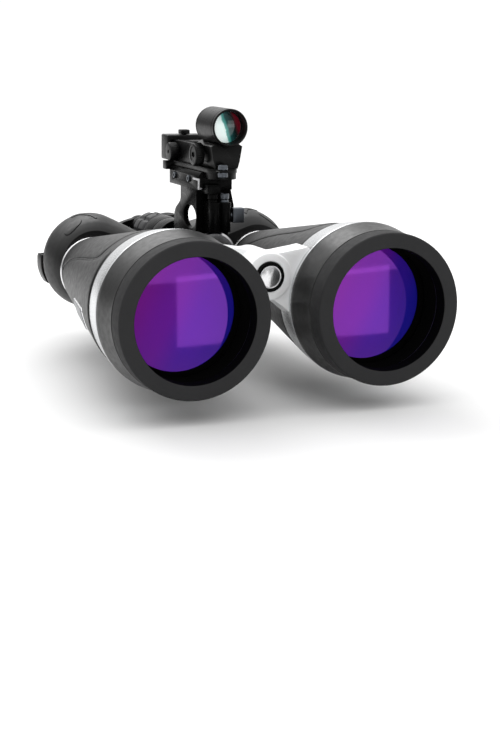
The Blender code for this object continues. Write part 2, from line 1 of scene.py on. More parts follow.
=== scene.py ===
"""Looks of the astronomy binoculars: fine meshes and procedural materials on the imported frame.

Shapes are built in bench millimetres: X across (the user's left half is on +X), +Y towards the
eyepieces, +Z up, with the origin between the two objective axes at the front rims. The boxes
of the frame's nodes give the bench's place, the barrels' spacing and the places of the rod,
the post, the eyepieces and the sight tube.
"""
import math

import bmesh
import bpy
from mathutils import Matrix, Vector


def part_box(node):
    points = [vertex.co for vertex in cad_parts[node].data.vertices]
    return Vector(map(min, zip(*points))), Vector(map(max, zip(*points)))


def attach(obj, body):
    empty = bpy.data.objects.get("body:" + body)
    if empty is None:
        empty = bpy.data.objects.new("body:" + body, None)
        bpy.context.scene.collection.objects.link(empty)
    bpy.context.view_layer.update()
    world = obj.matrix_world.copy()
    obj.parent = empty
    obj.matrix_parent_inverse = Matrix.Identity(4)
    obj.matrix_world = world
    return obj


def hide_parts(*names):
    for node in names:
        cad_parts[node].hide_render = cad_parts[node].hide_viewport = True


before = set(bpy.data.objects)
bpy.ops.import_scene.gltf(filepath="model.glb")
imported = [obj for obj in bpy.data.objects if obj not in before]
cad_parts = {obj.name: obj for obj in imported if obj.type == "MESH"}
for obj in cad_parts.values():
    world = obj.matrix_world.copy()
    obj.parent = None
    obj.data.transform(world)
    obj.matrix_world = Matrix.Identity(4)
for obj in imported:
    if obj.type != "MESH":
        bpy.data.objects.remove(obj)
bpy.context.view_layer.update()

MM = 0.001


def middle_of(node):
    """Middle of a CAD node's box, in metres."""
    low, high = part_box(node)
    return [(a + b) / 2.0 for a, b in zip(low, high)]


RIM_MIDDLE = middle_of("left_rim_ring")
EYE_MIDDLE = middle_of("left_eyecup")
SIGHT_MIDDLE = middle_of("sight_tube")
FRONT_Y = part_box("left_rim_ring")[0].y
AXIS_Z = RIM_MIDDLE[2]
BARREL_X = RIM_MIDDLE[0] / MM
EYE_X = EYE_MIDDLE[0] / MM
EYE_Z = (EYE_MIDDLE[2] - AXIS_Z) / MM
ROD_Z = (middle_of("focus_shaft")[2] - AXIS_Z) / MM
POST_Y = (middle_of("socket_insert")[1] - FRONT_Y) / MM
FOOT_Z = -AXIS_Z / MM
SIGHT_X = SIGHT_MIDDLE[0] / MM
SIGHT_Z = (SIGHT_MIDDLE[2] - AXIS_Z) / MM

# Objective end, radii about the barrel axis
APERTURE_R = 39.9
RIM_R = 50.0
RIM_LENGTH = 14.7
HOOD_FLARE_R = 52.5
HOOD_END_Y = 39.3
BAND_FRONT_Y = 39.6
BAND_REAR_Y = 62.5
BAND_REAR_R = 49.7
LENS_R = 39.3
LENS_FRONT_Y = 30.5
LENS_REAR_Y = 48.0
LENS_BALL_R = 168.0
CONE_END_Y = 216.4
CONE_END_R = 24.4

# Centre hinge, focus and post
ROD_R = 8.5
BORE_R = 8.9
HUB_R = 15.8
LUG_R = 16.2
CLEARANCE_R = 17.5
COLLAR_R = 17.2
CARRIAGE_R = 15.5

# Finder mount; the oval window has a middle and half sizes, both as (y, z)
SET_SCREW_Y = (191.0, 162.0)
SET_SCREW_Z = 71.5
WINDOW = (160.2, 45.0)
WINDOW_REACH = (12.7, 8.4)
STUD_X = (-2.9, 5.1)
CLAMP = (0.0, 136.6, 47.6)
TILT_SCREW = (-3.2, 119.4, 80.0)

# Word, side, and the stretches of hub, hinge lug and eyepiece arm along the rod
SIDES = (("left", 1, (42.0, 62.3), (219.8, 236.2), (297.0, 304.4)),
         ("right", -1, (62.9, 83.0), (236.8, 254.0), (305.0, 312.4)))

# Axes that pieces are turned about
BARREL = (BARREL_X, 0.0, 0.0)
EYE = (EYE_X, 0.0, EYE_Z)
ROD = (0.0, 0.0, ROD_Z)
POST = (0.0, POST_Y, 0.0)
SIGHT = (SIGHT_X, 0.0, SIGHT_Z)

# Points round a turned piece
FINE = 128
ROUND = 96
SMALL = 48
TINY = 24

# Degrees past which an edge stays sharp, or is rounded off
SHARP = 34.0
SHARP_PAD = 50.0
SHARP_LENS = 60.0
BEVELLED = 38.0

# Distances within which corners are welded, in metres
WELD = 1e-7
BEVEL_WELD = 2e-6

# How far from the line between two circles their belt turns from one to the other
BELT_SOFTNESS = 1.2

# A pad's flat top begins at a share of its reach, and its root lies a little under its sink
PAD_TOP = 0.92
PAD_ROOT = 0.6
# Width and rise of the flat black ring round each pad, painted shade along its seam
SHADE_RING_WIDTH = 0.35
SHADE_RING_RISE = 0.06
# How far a degree counts along a pad's surface, in millimetres
DEGREE_MM = 0.7


# --- meshes

def mesh_of(name, shape, side=1):
    """Mesh in metres from (points, faces) on the bench; side -1 mirrors it across X."""
    points, faces = shape
    mesh = bpy.data.meshes.new(name)
    placed = []
    for x, y, z in points:
        placed.append((x * side * MM, FRONT_Y + y * MM, AXIS_Z + z * MM))
    mesh.from_pydata(placed, [], faces)
    work = bmesh.new()
    work.from_mesh(mesh)
    bmesh.ops.remove_doubles(work, verts=work.verts, dist=WELD)
    bmesh.ops.recalc_face_normals(work, faces=work.faces)
    work.to_mesh(mesh)
    work.free()
    return mesh


def shade(mesh, sharp=SHARP):
    mesh.shade_smooth()
    mesh.set_sharp_from_angle(angle=math.radians(sharp))


def linked(name, data):
    """New object in the scene's own collection."""
    item = bpy.data.objects.new(name, data)
    bpy.context.scene.collection.objects.link(item)
    return item


def pieces_on(body, side=1, word=""):
    """Maker of the pieces that ride on a body; a word goes before their names and nodes."""
    prefix = word and word + "_"

    def add(name, shape, finish, *nodes, sharp=SHARP):
        """One visible piece, which stands for the CAD nodes named."""
        item = linked(prefix + name, mesh_of(prefix + name, shape, side))
        shade(item.data, sharp)
        material, slot = FINISHES[finish]
        item.data.materials.append(material)
        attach(item, body)
        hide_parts(*[prefix + node for node in nodes])
        return item

    return add


def combine(item, shape, operation, side):
    """Cut a shape from a piece, or join it on, and keep the result as its mesh."""
    guide = linked("guide", mesh_of("guide", shape, side))
    step = item.modifiers.new("combine", "BOOLEAN")
    step.operation = operation
    step.object = guide
    bpy.context.view_layer.update()
    seen = item.evaluated_get(bpy.context.evaluated_depsgraph_get())
    old = item.data
    item.data = bpy.data.meshes.new_from_object(seen)
    item.modifiers.remove(step)
    bpy.data.objects.remove(guide, do_unlink=True)
    bpy.data.meshes.remove(old)
    shade(item.data)


def cut(item, shape, side=1):
    combine(item, shape, "DIFFERENCE", side)


def join(item, shape, side=1):
    combine(item, shape, "UNION", side)


def drill(item, radius, low, high, centre=ROD, axis="Y", segments=ROUND, side=1):
    """Cut a round hole with barely rounded rims."""
    cut(item, turned(drum(radius, low, high, 0.1), centre, axis, segments), side)


def round_edges(item, width, segments=2):
    """Round the sharp edges of a piece by a width in millimetres."""
    work = bmesh.new()
    work.from_mesh(item.data)
    bmesh.ops.remove_doubles(work, verts=work.verts, dist=BEVEL_WELD)
    limit = math.radians(BEVELLED)
    edges = [edge for edge in work.edges
             if len(edge.link_faces) == 2 and edge.calc_face_angle(0.0) > limit]
    bmesh.ops.bevel(work, geom=edges, offset=width * MM, segments=segments, profile=0.5,
                    affect="EDGES", clamp_overlap=True, harden_normals=False)
    work.to_mesh(item.data)
    work.free()
    shade(item.data)


def quads(rings, count, wrap=True):
    """Faces between rings of count points; wrap closes the last ring on the first."""
    faces = []
    for ring in range(rings if wrap else rings - 1):
        below = ring * count
        above = ((ring + 1) % rings) * count
        for step in range(count):
            following = (step + 1) % count
            faces.append([below + step, below + following, above + following, above + step])
    return faces


def polar(radius, angle):
    return radius * math.cos(angle), radius * math.sin(angle)


def on_axis(axis, along, a, b):
    """Point from a place along an axis and two places across it."""
    return {"X": (along, a, b), "Y": (a, along, b), "Z": (a, b, along)}[axis]


def turned(profile, centre=(0.0, 0.0, 0.0), axis="Y", segments=ROUND, wave=None):
    """Sweep a closed (radius, along) profile about an axis; wave(degrees, r, along) adds to r."""
    points = []
    for radius, along in profile:
        for step in range(segments):
            degrees = 360.0 * step / segments
            reach = radius + (wave(degrees, radius, along) if wave else 0.0)
            offset = on_axis(axis, along, *polar(reach, math.radians(degrees)))
            points.append(tuple(c + o for c, o in zip(centre, offset)))
    return points, tidy_faces(points, quads(len(profile), segments))


def tidy_faces(points, faces):
    """Drop the repeated corners that faces have on an axis."""
    kept = []
    for face in faces:
        unique = []
        for corner in face:
            if all((Vector(points[corner]) - Vector(points[other])).length > 1e-5
                   for other in unique):
                unique.append(corner)
        if len(unique) > 2:
            kept.append(unique)
    return kept


def grooved(depth, shape, rate, beyond, reach=(-math.inf, math.inf)):
    """Wave for turned: grooves round the stretch of a profile past a radius, within a reach."""
    def wave(degrees, radius, along):
        if radius > beyond and reach[0] < along < reach[1]:
            return -depth * shape(math.radians(degrees * rate))
        return 0.0
    return wave


def ridge(angle):
    return abs(math.sin(angle))


def lobe(angle):
    return 0.5 + 0.5 * math.cos(angle)


def rib(angle):
    return lobe(angle) ** 2


def flute(angle):
    return max(0.0, math.sin(angle)) ** 2


def fillet(profile, radius, steps=3):
    """Round the corners of a closed (radius, along) profile, apart from those on the axis."""
    rounded = []
    for index, corner in enumerate(profile):
        if corner[0] < 1e-6:
            rounded.append(corner)
            continue
        here = Vector(corner)
        back = Vector(profile[index - 1]) - here
        ahead = Vector(profile[(index + 1) % len(profile)]) - here
        start = here + back.normalized() * min(radius, back.length * 0.45)
        end = here + ahead.normalized() * min(radius, ahead.length * 0.45)
        for step in range(steps + 1):
            t = step / steps
            rounded.append(tuple(start * (1 - t) ** 2 + here * (2 * t * (1 - t)) + end * t ** 2))
    return rounded


def drum(radius, low, high, edge=0.5):
    """Closed profile of a solid drum with rounded edges."""
    return fillet([(0.0, low), (radius, low), (radius, high), (0.0, high)], edge)


def pipe(inner, outer, low, high, edge=0.4):
    return fillet([(inner, low), (outer, low), (outer, high), (inner, high)], edge)


def prism(outline, low, high, axis="Y"):
    """Extrude an outline; it is (x, z) for axis Y, (y, z) for axis X, (x, y) for axis Z."""
    return loft([[on_axis(axis, along, a, b) for a, b in outline] for along in (low, high)])


def box(x_range, y_range, z_range):
    outline = [(x_range[0], z_range[0]), (x_range[1], z_range[0]),
               (x_range[1], z_range[1]), (x_range[0], z_range[1])]
    return prism(outline, *y_range)


def loft(rings):
    """Closed skin over rings of points, flat at both ends."""
    count = len(rings[0])
    last = (len(rings) - 1) * count
    ends = [list(range(count)), list(range(last, last + count))]
    return [point for ring in rings for point in ring], quads(len(rings), count, False) + ends


def dished(radius, y, rise, steps):
    """Profile of a dished face, from its axis at y out to its edge at y + rise."""
    reaches = [radius * step / steps for step in range(steps + 1)]
    return [(reach, y + rise * (reach / radius) ** 2) for reach in reaches]


def spline(values, places, place):
    """Smooth value at a place, from values at rising places."""
    last = len(places) - 1
    index = 0
    while index < last - 1 and place > places[index + 1]:
        index += 1
    t = (place - places[index]) / (places[index + 1] - places[index])
    before = values[max(index - 1, 0)]
    start, end = values[index], values[index + 1]
    after = values[min(index + 2, last)]
    slope_in = (end - before) / 2.0
    slope_out = (after - start) / 2.0
    return ((2 * t ** 3 - 3 * t ** 2 + 1) * start + (t ** 3 - 2 * t ** 2 + t) * slope_in
            + (3 * t ** 2 - 2 * t ** 3) * end + (t ** 3 - t ** 2) * slope_out)


def hull_point(circles, angle):
    """Point of the belt round two circles that faces an angle, softened between the circles."""
    across, up = math.cos(angle), math.sin(angle)
    reaches = [x * across + z * up + radius for x, z, radius in circles]
    share = 1.0 / (1.0 + math.exp(-(reaches[0] - reaches[1]) / BELT_SOFTNESS))
    x, z, radius = (a * share + b * (1 - share) for a, b in zip(*circles))
    return x + radius * across, z + radius * up


def hull_outline(circles):
    """Belt round two circles (x, z, radius), one point for each direction."""
    return [hull_point(circles, 2.0 * math.pi * (step + 0.5) / ROUND) for step in range(ROUND)]


# --- surfaces that details follow

def cone_radius(y):
    share = (y - BAND_REAR_Y) / (CONE_END_Y - BAND_REAR_Y)
    return BAND_REAR_R + (CONE_END_R - BAND_REAR_R) * share


def on_cone(degrees, y, height):
    """Point on the left barrel's armour; 0 degrees faces out, 90 up and 180 the other barrel."""
    x, z = polar(cone_radius(y) + height, math.radians(degrees))
    return BARREL_X + x, y, z


HOUSING_Y = (219.5, 227.0, 236.0, 246.0, 257.0, 271.0, 286.0)
HOUSING_OUTER_R = (26.5, 31.2, 34.3, 35.3, 33.6, 29.5, 26.0)
HOUSING_OUTER_X = (64.0, 62.5, 61.5, 61.0, 59.5, 57.0, 55.0)
HOUSING_INNER_R = (15.0, 18.5, 20.5, 21.0, 21.0, 20.5, 20.0)


def housing_circles(y, inset=0.0):
    return [(spline(HOUSING_OUTER_X, HOUSING_Y, y), 4.0,
             spline(HOUSING_OUTER_R, HOUSING_Y, y) - inset),
            (28.0, 3.0, spline(HOUSING_INNER_R, HOUSING_Y, y) - inset)]


def on_housing(degrees, y, height):
    x, z = hull_point(housing_circles(y, -height), math.radians(degrees))
    return x, y, z


def between(middle, edge, share):
    return tuple(a + (b - a) * share for a, b in zip(middle, edge))


def pad(outline, spine, surface, rise, sink=0.4, loops=14):
    """Raised pad with rolled edges. Outline and spine are (degrees, y) on a surface."""
    centre = [nearest_on(spine, corner) for corner in outline]
    roll = [(1.0, -sink), (1.0, rise * 0.25), (0.985, rise * 0.6), (0.955, rise * 0.88),
            (PAD_TOP, rise)]
    roll += [(PAD_TOP * (1 - step / loops), rise) for step in range(1, loops + 1)]
    points = []
    for share, height in roll:
        points += [surface(*between(middle, edge, share), height)
                   for edge, middle in zip(outline, centre)]
    count = len(outline)
    base = len(points)
    points += [surface(*corner, -sink - PAD_ROOT) for corner in outline + centre]
    faces = quads(len(roll), count, wrap=False)
    for step in range(count):
        following = (step + 1) % count
        faces.append([step, following, base + following, base + step])
        faces.append([base + step, base + following, base + count + following,
                      base + count + step])
    return points, tidy_faces(points, faces)


def widened(outline, spine, margin):
    """The same outline pushed out from its spine by a margin in millimetres."""
    wide = []
    for edge in outline:
        middle = nearest_on(spine, edge)
        reach = math.hypot((edge[0] - middle[0]) * DEGREE_MM, edge[1] - middle[1])
        wide.append(between(middle, edge, 1.0 + margin / reach))
    return wide


def nearest_on(spine, corner):
    """Closest place to a corner on a straight (degrees, y) spine."""
    start, end, place = (Vector((degrees * DEGREE_MM, y)) for degrees, y in (*spine, corner))
    along = end - start
    share = max(0.0, min(1.0, (place - start).dot(along) / along.length_squared))
    found = start + along * share
    return found.x / DEGREE_MM, found.y


def smooth_loop(corners, per_side):
    """Closed smooth curve through (a, b) corners."""
    loop = []
    count = len(corners)
    for index in range(count):
        p0, p1, p2, p3 = (Vector(corners[(index + step) % count]) for step in (-1, 0, 1, 2))
        for step in range(per_side):
            t = step / per_side
            loop.append(tuple(0.5 * (2 * p1 + (p2 - p0) * t
                                     + (2 * p0 - 5 * p1 + 4 * p2 - p3) * t ** 2
                                     + (3 * p1 - p0 - 3 * p2 + p3) * t ** 3)))
    return loop


# --- materials

class Nodes:
    """Short way to add and link the nodes of a material or of the world."""

    def __init__(self, owner, end, coordinates):
        owner.use_nodes = True
        self.owner = owner
        self.tree = owner.node_tree
        self.end = self.tree.nodes[end]
        self.place = self.add("ShaderNodeTexCoord").outputs[coordinates]

    def add(self, kind, **settings):
        node = self.tree.nodes.new(kind)
        for key, value in settings.items():
            setattr(node, key, value)
        return node

    def feed(self, source, target):
        if isinstance(source, (int, float, tuple)):
            target.default_value = source
        else:
            self.tree.links.new(source, target)

    def settle(self, sockets):
        """Feed sockets of the end node, each from a value or a link."""
        for name, source in sockets.items():
            self.feed(source, self.end.inputs[name])

    def parts(self):
        node = self.add("ShaderNodeSeparateXYZ")
        self.feed(self.place, node.inputs[0])
        return node.outputs

    def math(self, operation, *values):
        node = self.add("ShaderNodeMath", operation=operation)
        for value, target in zip(values, node.inputs):
            self.feed(value, target)
        return node.outputs[0]

    def noise(self, scale, detail=3.0, roughness=0.55, place=None):
        node = self.add("ShaderNodeTexNoise")
        self.feed(place or self.place, node.inputs["Vector"])
        self.feed(scale, node.inputs["Scale"])
        self.feed(detail, node.inputs["Detail"])
        self.feed(roughness, node.inputs["Roughness"])
        return node.outputs["Fac"]

    def wandering(self, value, noise, reach):
        """Value moved up and down by a noise, so that its edges don't run true."""
        return self.math("ADD", value, self.math("MULTIPLY", self.math("SUBTRACT", noise, 0.5),
                                                 reach))

    def blend(self, share, first, second):
        node = self.add("ShaderNodeMix", data_type="RGBA")
        for source, index in ((share, 0), (first, 6), (second, 7)):
            self.feed(source, node.inputs[index])
        return node.outputs[2]

    def ramp(self, share, stops):
        """Smooth colours along a share; the first two stops are the lowest and the highest."""
        node = self.add("ShaderNodeValToRGB")
        node.color_ramp.interpolation = "EASE"
        for index, (place, colour) in enumerate(stops):
            if index < 2:
                stop = node.color_ramp.elements[index]
                stop.position = place
            else:
                stop = node.color_ramp.elements.new(place)
            stop.color = (*colour, 1.0)
        self.feed(share, node.inputs[0])
        return node.outputs["Color"]

    def mapped(self, value, source, target, kind="LINEAR"):
        """Value carried from its source limits to its target limits."""
        node = self.add("ShaderNodeMapRange", interpolation_type=kind)
        self.feed(value, node.inputs["Value"])
        for end, limits in (("From ", source), ("To ", target)):
            self.feed(limits[0], node.inputs[end + "Min"])
            self.feed(limits[1], node.inputs[end + "Max"])
        return node.outputs["Result"]

    def spread(self, noise, low, high):
        return self.mapped(noise, NOISE_LIMITS, (low, high))

    def bump(self, height, depth, strength, under=None):
        node = self.add("ShaderNodeBump")
        self.feed(strength, node.inputs["Strength"])
        self.feed(depth * MM, node.inputs["Distance"])
        self.feed(height, node.inputs["Height"])
        if under is not None:
            self.feed(under, node.inputs["Normal"])
        return node.outputs["Normal"]


NOISE_LIMITS = (0.3, 0.7)
RUBBER_TINT = (1.0, 1.0, 1.03)


def shaded(name):
    return Nodes(bpy.data.materials.new(name), "Principled BSDF", "Object")


def rubber_grey(value):
    return tuple(value * part for part in RUBBER_TINT) + (1.0,)


def moulded(name, value, roughness, grain, depth, specular):
    """Rubber or plastic: fine moulded grain, dusty mottling and uneven gloss."""
    kit = shaded(name)
    fine = kit.noise(grain, 3.0, 0.6)
    dusty = kit.noise(260.0, 3.0)
    tone = kit.math("MULTIPLY_ADD", kit.noise(55.0, 4.0), 0.7, 0.5)
    coarse = kit.bump(dusty, depth * 0.3, 0.25)
    kit.settle({"Base Color": kit.blend(tone, rubber_grey(value * 0.78),
                                        rubber_grey(value * 1.22)),
                "Roughness": kit.spread(dusty, roughness - 0.06, roughness + 0.07),
                "Normal": kit.bump(fine, depth, 0.8, coarse),
                "Specular IOR Level": specular})
    return kit.owner


def metal(name, colour, roughness, grain, depth, metallic=1.0, stretch=(1.0, 1.0, 1.0)):
    """Cast, turned or plated metal: grain stretched along its finishing marks."""
    kit = shaded(name)
    scaled = kit.add("ShaderNodeMapping")
    kit.feed(kit.place, scaled.inputs["Vector"])
    kit.feed(stretch, scaled.inputs["Scale"])
    fine = kit.noise(grain, 4.0, 0.6, scaled.outputs["Vector"])
    dark = tuple(part * 0.95 for part in colour)
    kit.settle({"Base Color": kit.blend(kit.noise(70.0, 3.0), (*dark, 1.0), (*colour, 1.0)),
                "Roughness": kit.spread(fine, roughness * 0.8, roughness * 1.25),
                "Normal": kit.bump(fine, depth, 0.7),
                "Metallic": metallic})
    return kit.owner


COAT_BALL_R = 355.0
COAT_TILT = 0.14
COAT_SLANT = (0.90, 0.42)
# Painted light on the objectives: LENS_GLOW makes the lens glow, and the colours paint its coating
# reflection, magenta to a darker deep blue
LENS_GLOW = 0.25
LENS_PAINTED_REFLECTION = [(0.08, (0.165, 0.005, 0.215)), (0.92, (0.012, 0.009, 0.270)),
                (0.40, (0.105, 0.006, 0.250)), (0.68, (0.030, 0.008, 0.275))]


def lens_painted_reflection(word, side):
    """Multi-coated objective: painted magenta to deep blue reflection under a violet mirror coat.

    The shading normal is worked out from the place on the lens as a hollow surface of radius
    COAT_BALL_R, as an inner face of the doublet would be. The painted colour darkens towards +X
    and downwards on both lenses. COAT_TILT and LENS_GLOW are for looks, not physics: the tilt
    turns the reflection from the floor to the panels in front, and the glow is painted light
    that lifts the painted colour out of the dark barrel.
    """
    kit = shaded(word + "_lens_painted_reflection")
    parts = kit.parts()
    across = kit.math("SUBTRACT", parts["X"], BARREL_X * side * MM)
    up = kit.math("SUBTRACT", parts["Z"], AXIS_Z)
    slant = kit.math("SUBTRACT", kit.math("MULTIPLY", across, COAT_SLANT[0]),
                     kit.math("MULTIPLY", up, COAT_SLANT[1]))
    share = kit.math("ADD", kit.math("MULTIPLY", slant, 1.0 / (2.0 * LENS_R * MM)), 0.5)
    colour = kit.ramp(kit.wandering(share, kit.noise(18.0, 2.0), 0.05), LENS_PAINTED_REFLECTION)
    tilt = kit.add("ShaderNodeCombineXYZ")
    hollow = -1.0 / (COAT_BALL_R * MM)
    kit.feed(kit.math("MULTIPLY", across, hollow), tilt.inputs["X"])
    kit.feed(-1.0, tilt.inputs["Y"])
    kit.feed(kit.math("ADD", kit.math("MULTIPLY", up, hollow), COAT_TILT), tilt.inputs["Z"])
    turn = kit.add("ShaderNodeVectorTransform", vector_type="NORMAL", convert_from="OBJECT",
                   convert_to="WORLD")
    kit.feed(tilt.outputs[0], turn.inputs[0])
    kit.settle({"Base Color": colour, "Emission Color": colour, "Emission Strength": LENS_GLOW,
                "Normal": turn.outputs[0],
                "Roughness": kit.spread(kit.noise(120.0, 4.0), 0.03, 0.05),
                "Specular IOR Level": 1.0, "IOR": 1.8, "Specular Tint": (0.62, 0.14, 1.0, 1.0)})
    return kit.owner


# Painted light on the finder window: SIGHT_GLOW makes it glow, and the colours paint the backdrop
# seen through it, its shade and a dark red glint
SIGHT_GLOW = 0.35
SIGHT_SLANT = 0.35
SIGHT_CHANGE = 48.0
SIGHT_PAINTED_LIGHT = [(0.10, (0.92, 1.0, 0.98)), (0.95, (0.10, 0.004, 0.010)),
                 (0.40, (0.80, 0.95, 0.92)), (0.48, (0.06, 0.30, 0.27)),
                 (0.60, (0.008, 0.05, 0.05)), (0.78, (0.003, 0.012, 0.012))]


def sight_painted_light():
    """Finder window, an opaque glass that glows, with painted light: pale mint for the backdrop
    seen through it, teal to near black for shade, and a dark red glint of its coat towards +X.
    """
    kit = shaded("sight_painted_light")
    parts = kit.parts()
    across = kit.math("SUBTRACT", parts["X"], SIGHT_X * MM)
    up = kit.math("SUBTRACT", parts["Z"], AXIS_Z + SIGHT_Z * MM)
    slant = kit.math("ADD", across, kit.math("MULTIPLY", up, SIGHT_SLANT))
    wander = kit.noise(240.0, 3.0)
    share = kit.wandering(kit.math("MULTIPLY_ADD", slant, SIGHT_CHANGE, 0.5), wander, 0.10)
    colour = kit.ramp(share, SIGHT_PAINTED_LIGHT)
    kit.settle({"Base Color": colour, "Emission Color": colour,
                "Emission Strength": SIGHT_GLOW, "Roughness": kit.spread(wander, 0.03, 0.08),
                "Coat Weight": 0.4, "Coat Roughness": 0.01})
    return kit.owner


def dark_glass():
    """Eyepiece glass and prisms: dark inside, with a green-violet coat."""
    kit = shaded("optical_glass")
    kit.settle({"Base Color": kit.blend(kit.noise(90.0, 2.0), (0.012, 0.030, 0.024, 1.0),
                                        (0.030, 0.014, 0.045, 1.0)),
                "Roughness": kit.spread(kit.noise(400.0), 0.02, 0.05),
                "Coat Weight": 1.0, "Coat Roughness": 0.01})
    return kit.owner


# Material and export slot of each finish
FINISHES = {
    "rim": (moulded("rim_rubber_fine", 0.022, 0.60, 3400.0, 0.03, 0.10), "rim_rubber"),
    "armour": (moulded("armour_rubber_fine", 0.005, 0.42, 2600.0, 0.015, 0.28),
               "armour_rubber"),
    "hood": (moulded("hood_rubber_fine", 0.004, 0.38, 3000.0, 0.02, 0.36), "armour_rubber"),
    "cup": (moulded("eyecup_rubber_fine", 0.008, 0.60, 2200.0, 0.05, 0.20), "eyecup_rubber"),
    "plastic": (moulded("black_plastic_fine", 0.002, 0.32, 3800.0, 0.008, 0.16),
                "black_plastic"),
    "baffle": (moulded("black_baffle_and_shade", 0.0015, 0.85, 3000.0, 0.04, 0.02), "armour_rubber"),
    "alloy": (moulded("anodised_black", 0.0015, 0.28, 2600.0, 0.002, 0.07), "black_alloy"),
    "grip": (moulded("focus_grip_rubber", 0.045, 0.55, 2200.0, 0.05, 0.25), "eyecup_rubber"),
    "silver": (metal("satin_silver_cast", (0.97, 0.975, 0.98), 0.45, 2200.0, 0.0, 0.35),
               "satin_silver"),
    "band": (metal("satin_silver_band", (0.62, 0.63, 0.64), 0.26, 2200.0, 0.0),
             "satin_silver"),
    "chrome": (metal("bright_plate", (0.82, 0.82, 0.83), 0.20, 900.0, 0.003), "bright_metal"),
    "steel": (metal("bead_blasted_steel", (0.11, 0.12, 0.135), 0.36, 3200.0, 0.010), "steel"),
    "collar": (metal("turned_collar", (0.42, 0.42, 0.43), 0.30, 1800.0, 0.004),
               "bright_metal"),
    "brass": (metal("turned_brass", (0.62, 0.45, 0.17), 0.26, 1500.0, 0.010,
                    stretch=(1.0, 1.0, 6.0)), "brass"),
    "badge": (metal("badge_plate", (0.10, 0.105, 0.115), 0.30, 1400.0, 0.008,
                    stretch=(1.0, 0.12, 1.0)), "badge_metal"),
    "sight": (sight_painted_light(), "coated_glass"),
    "glass": (dark_glass(), "prism_glass"),
    "left_lens": (lens_painted_reflection("left", 1), "coated_glass"),
    "right_lens": (lens_painted_reflection("right", -1), "coated_glass"),
}


# --- binocular halves

def make_objective_end(word, side, body):
    """Rim ring, hood with its ribbed lining, retaining ring and coated objective."""
    add = pieces_on(body, side, word)
    rim = [(APERTURE_R, 0.7), (APERTURE_R + 0.7, 0.0), (RIM_R - 0.9, 0.0), (RIM_R, 0.9),
           (RIM_R, RIM_LENGTH - 0.2), (RIM_R - 0.5, RIM_LENGTH), (APERTURE_R + 1.6, RIM_LENGTH),
           (APERTURE_R, RIM_LENGTH - 4.0)]
    ring = add("front_rim", turned(fillet(rim, 0.6), BARREL, segments=FINE), "rim", "rim_ring")
    ring.data.materials.append(FINISHES["baffle"][0])
    for face in ring.data.polygons:
        reach = math.hypot(face.center.x - side * BARREL_X * MM, face.center.z - AXIS_Z)
        if reach < (APERTURE_R + 0.25) * MM:
            face.material_index = 1
    front = RIM_LENGTH + 0.3
    shell = [(42.9, front), (RIM_R - 0.6, front), (RIM_R + 0.1, front + 0.6)]
    for step in range(9):
        share = step / 8
        shell.append((RIM_R + 0.1 + (HOOD_FLARE_R - RIM_R - 0.1) * share ** 1.15,
                      front + 1.0 + (HOOD_END_Y - front - 1.6) * share))
    shell += [(HOOD_FLARE_R - 0.3, HOOD_END_Y), (43.4, HOOD_END_Y)]
    add("lens_hood", turned(shell, BARREL, segments=FINE), "hood", "hood")
    lining = [(42.8, front + 0.1)]
    pitch = 1.25
    for rib in range(11):
        start = front + 0.4 + rib * pitch
        lining += [(41.6, start), (40.6, start + pitch * 0.5), (41.6, start + pitch * 0.55)]
    lining.append((42.8, 30.2))
    add("hood_lining", turned(lining, BARREL, segments=FINE), "baffle", "hood")
    ring = add("retaining_ring", turned(pipe(37.9, 41.4, 30.7, 34.2), BARREL, segments=FINE),
               "baffle", "lens_retainer")
    for turn in range(4):
        x, z = polar(40.4, math.radians(45.0 + 90.0 * turn))
        drill(ring, 1.3, 29.0, 32.2, (BARREL_X + x, 0.0, z), segments=16, side=side)
    rear_r = LENS_R - 0.5
    lens = dished(LENS_R, LENS_FRONT_Y, LENS_R ** 2 / (2.0 * LENS_BALL_R), 24)
    lens.append((LENS_R, LENS_REAR_Y - 2.2))
    lens += dished(rear_r, LENS_REAR_Y, -rear_r ** 2 / (4.0 * LENS_BALL_R), 12)[::-1]
    add("objective_glass", turned(lens, BARREL), word + "_lens", "objective_lens",
        sharp=SHARP_LENS)


def web_outline():
    """Bridge web as (x, z): a shallow V above the hub, and a flank that drops to the band."""
    top = [(0.0, ROD_Z + 15.0), (7.0, ROD_Z + 15.1), (14.0, 34.8), (21.0, 35.8), (27.0, 36.9)]
    flank = [(44.0, 20.0), (44.0, -11.5)]
    under = [(27.0, -12.0), (21.0, -11.0), (15.0, -6.0), (9.0, -1.0), (4.0, 2.6), (0.0, 3.6)]
    return top + flank + under


def make_bridge(word, side, body, hub):
    """Silver band, bridge web and front hub of one half."""
    add = pieces_on(body, side, word)
    band = [(43.2, BAND_FRONT_Y), (HOOD_FLARE_R - 0.2, BAND_FRONT_Y), (HOOD_FLARE_R, 40.2),
            (52.1, 44.5), (51.6, 49.0), (50.8, 55.0), (BAND_REAR_R + 0.15, BAND_REAR_Y - 0.6),
            (BAND_REAR_R - 0.4, BAND_REAR_Y), (43.2, BAND_REAR_Y)]
    add("silver_band", turned(fillet(band, 0.35), BARREL, segments=FINE), "band",
        "bridge_casting")
    web = add("bridge_web", prism(web_outline(), hub[0] + 1.0, hub[1] - 0.6), "silver",
              "bridge_casting")
    join(web, turned(drum(HUB_R, hub[0], hub[1], 1.2), ROD), side)
    drill(web, BORE_R, hub[0] - 3.0, hub[1] + 3.0, segments=SMALL, side=side)
    if side > 0:
        drill(web, 10.2, 36.0, 45.3, segments=SMALL, side=side)
    shell = [(0.0, 36.0), (45.0, 36.0), (45.0, BAND_REAR_Y), (21.4, CONE_END_Y), (0.0, CONE_END_Y)]
    cut(web, turned(shell, BARREL), side)
    round_edges(web, 0.7, 3)


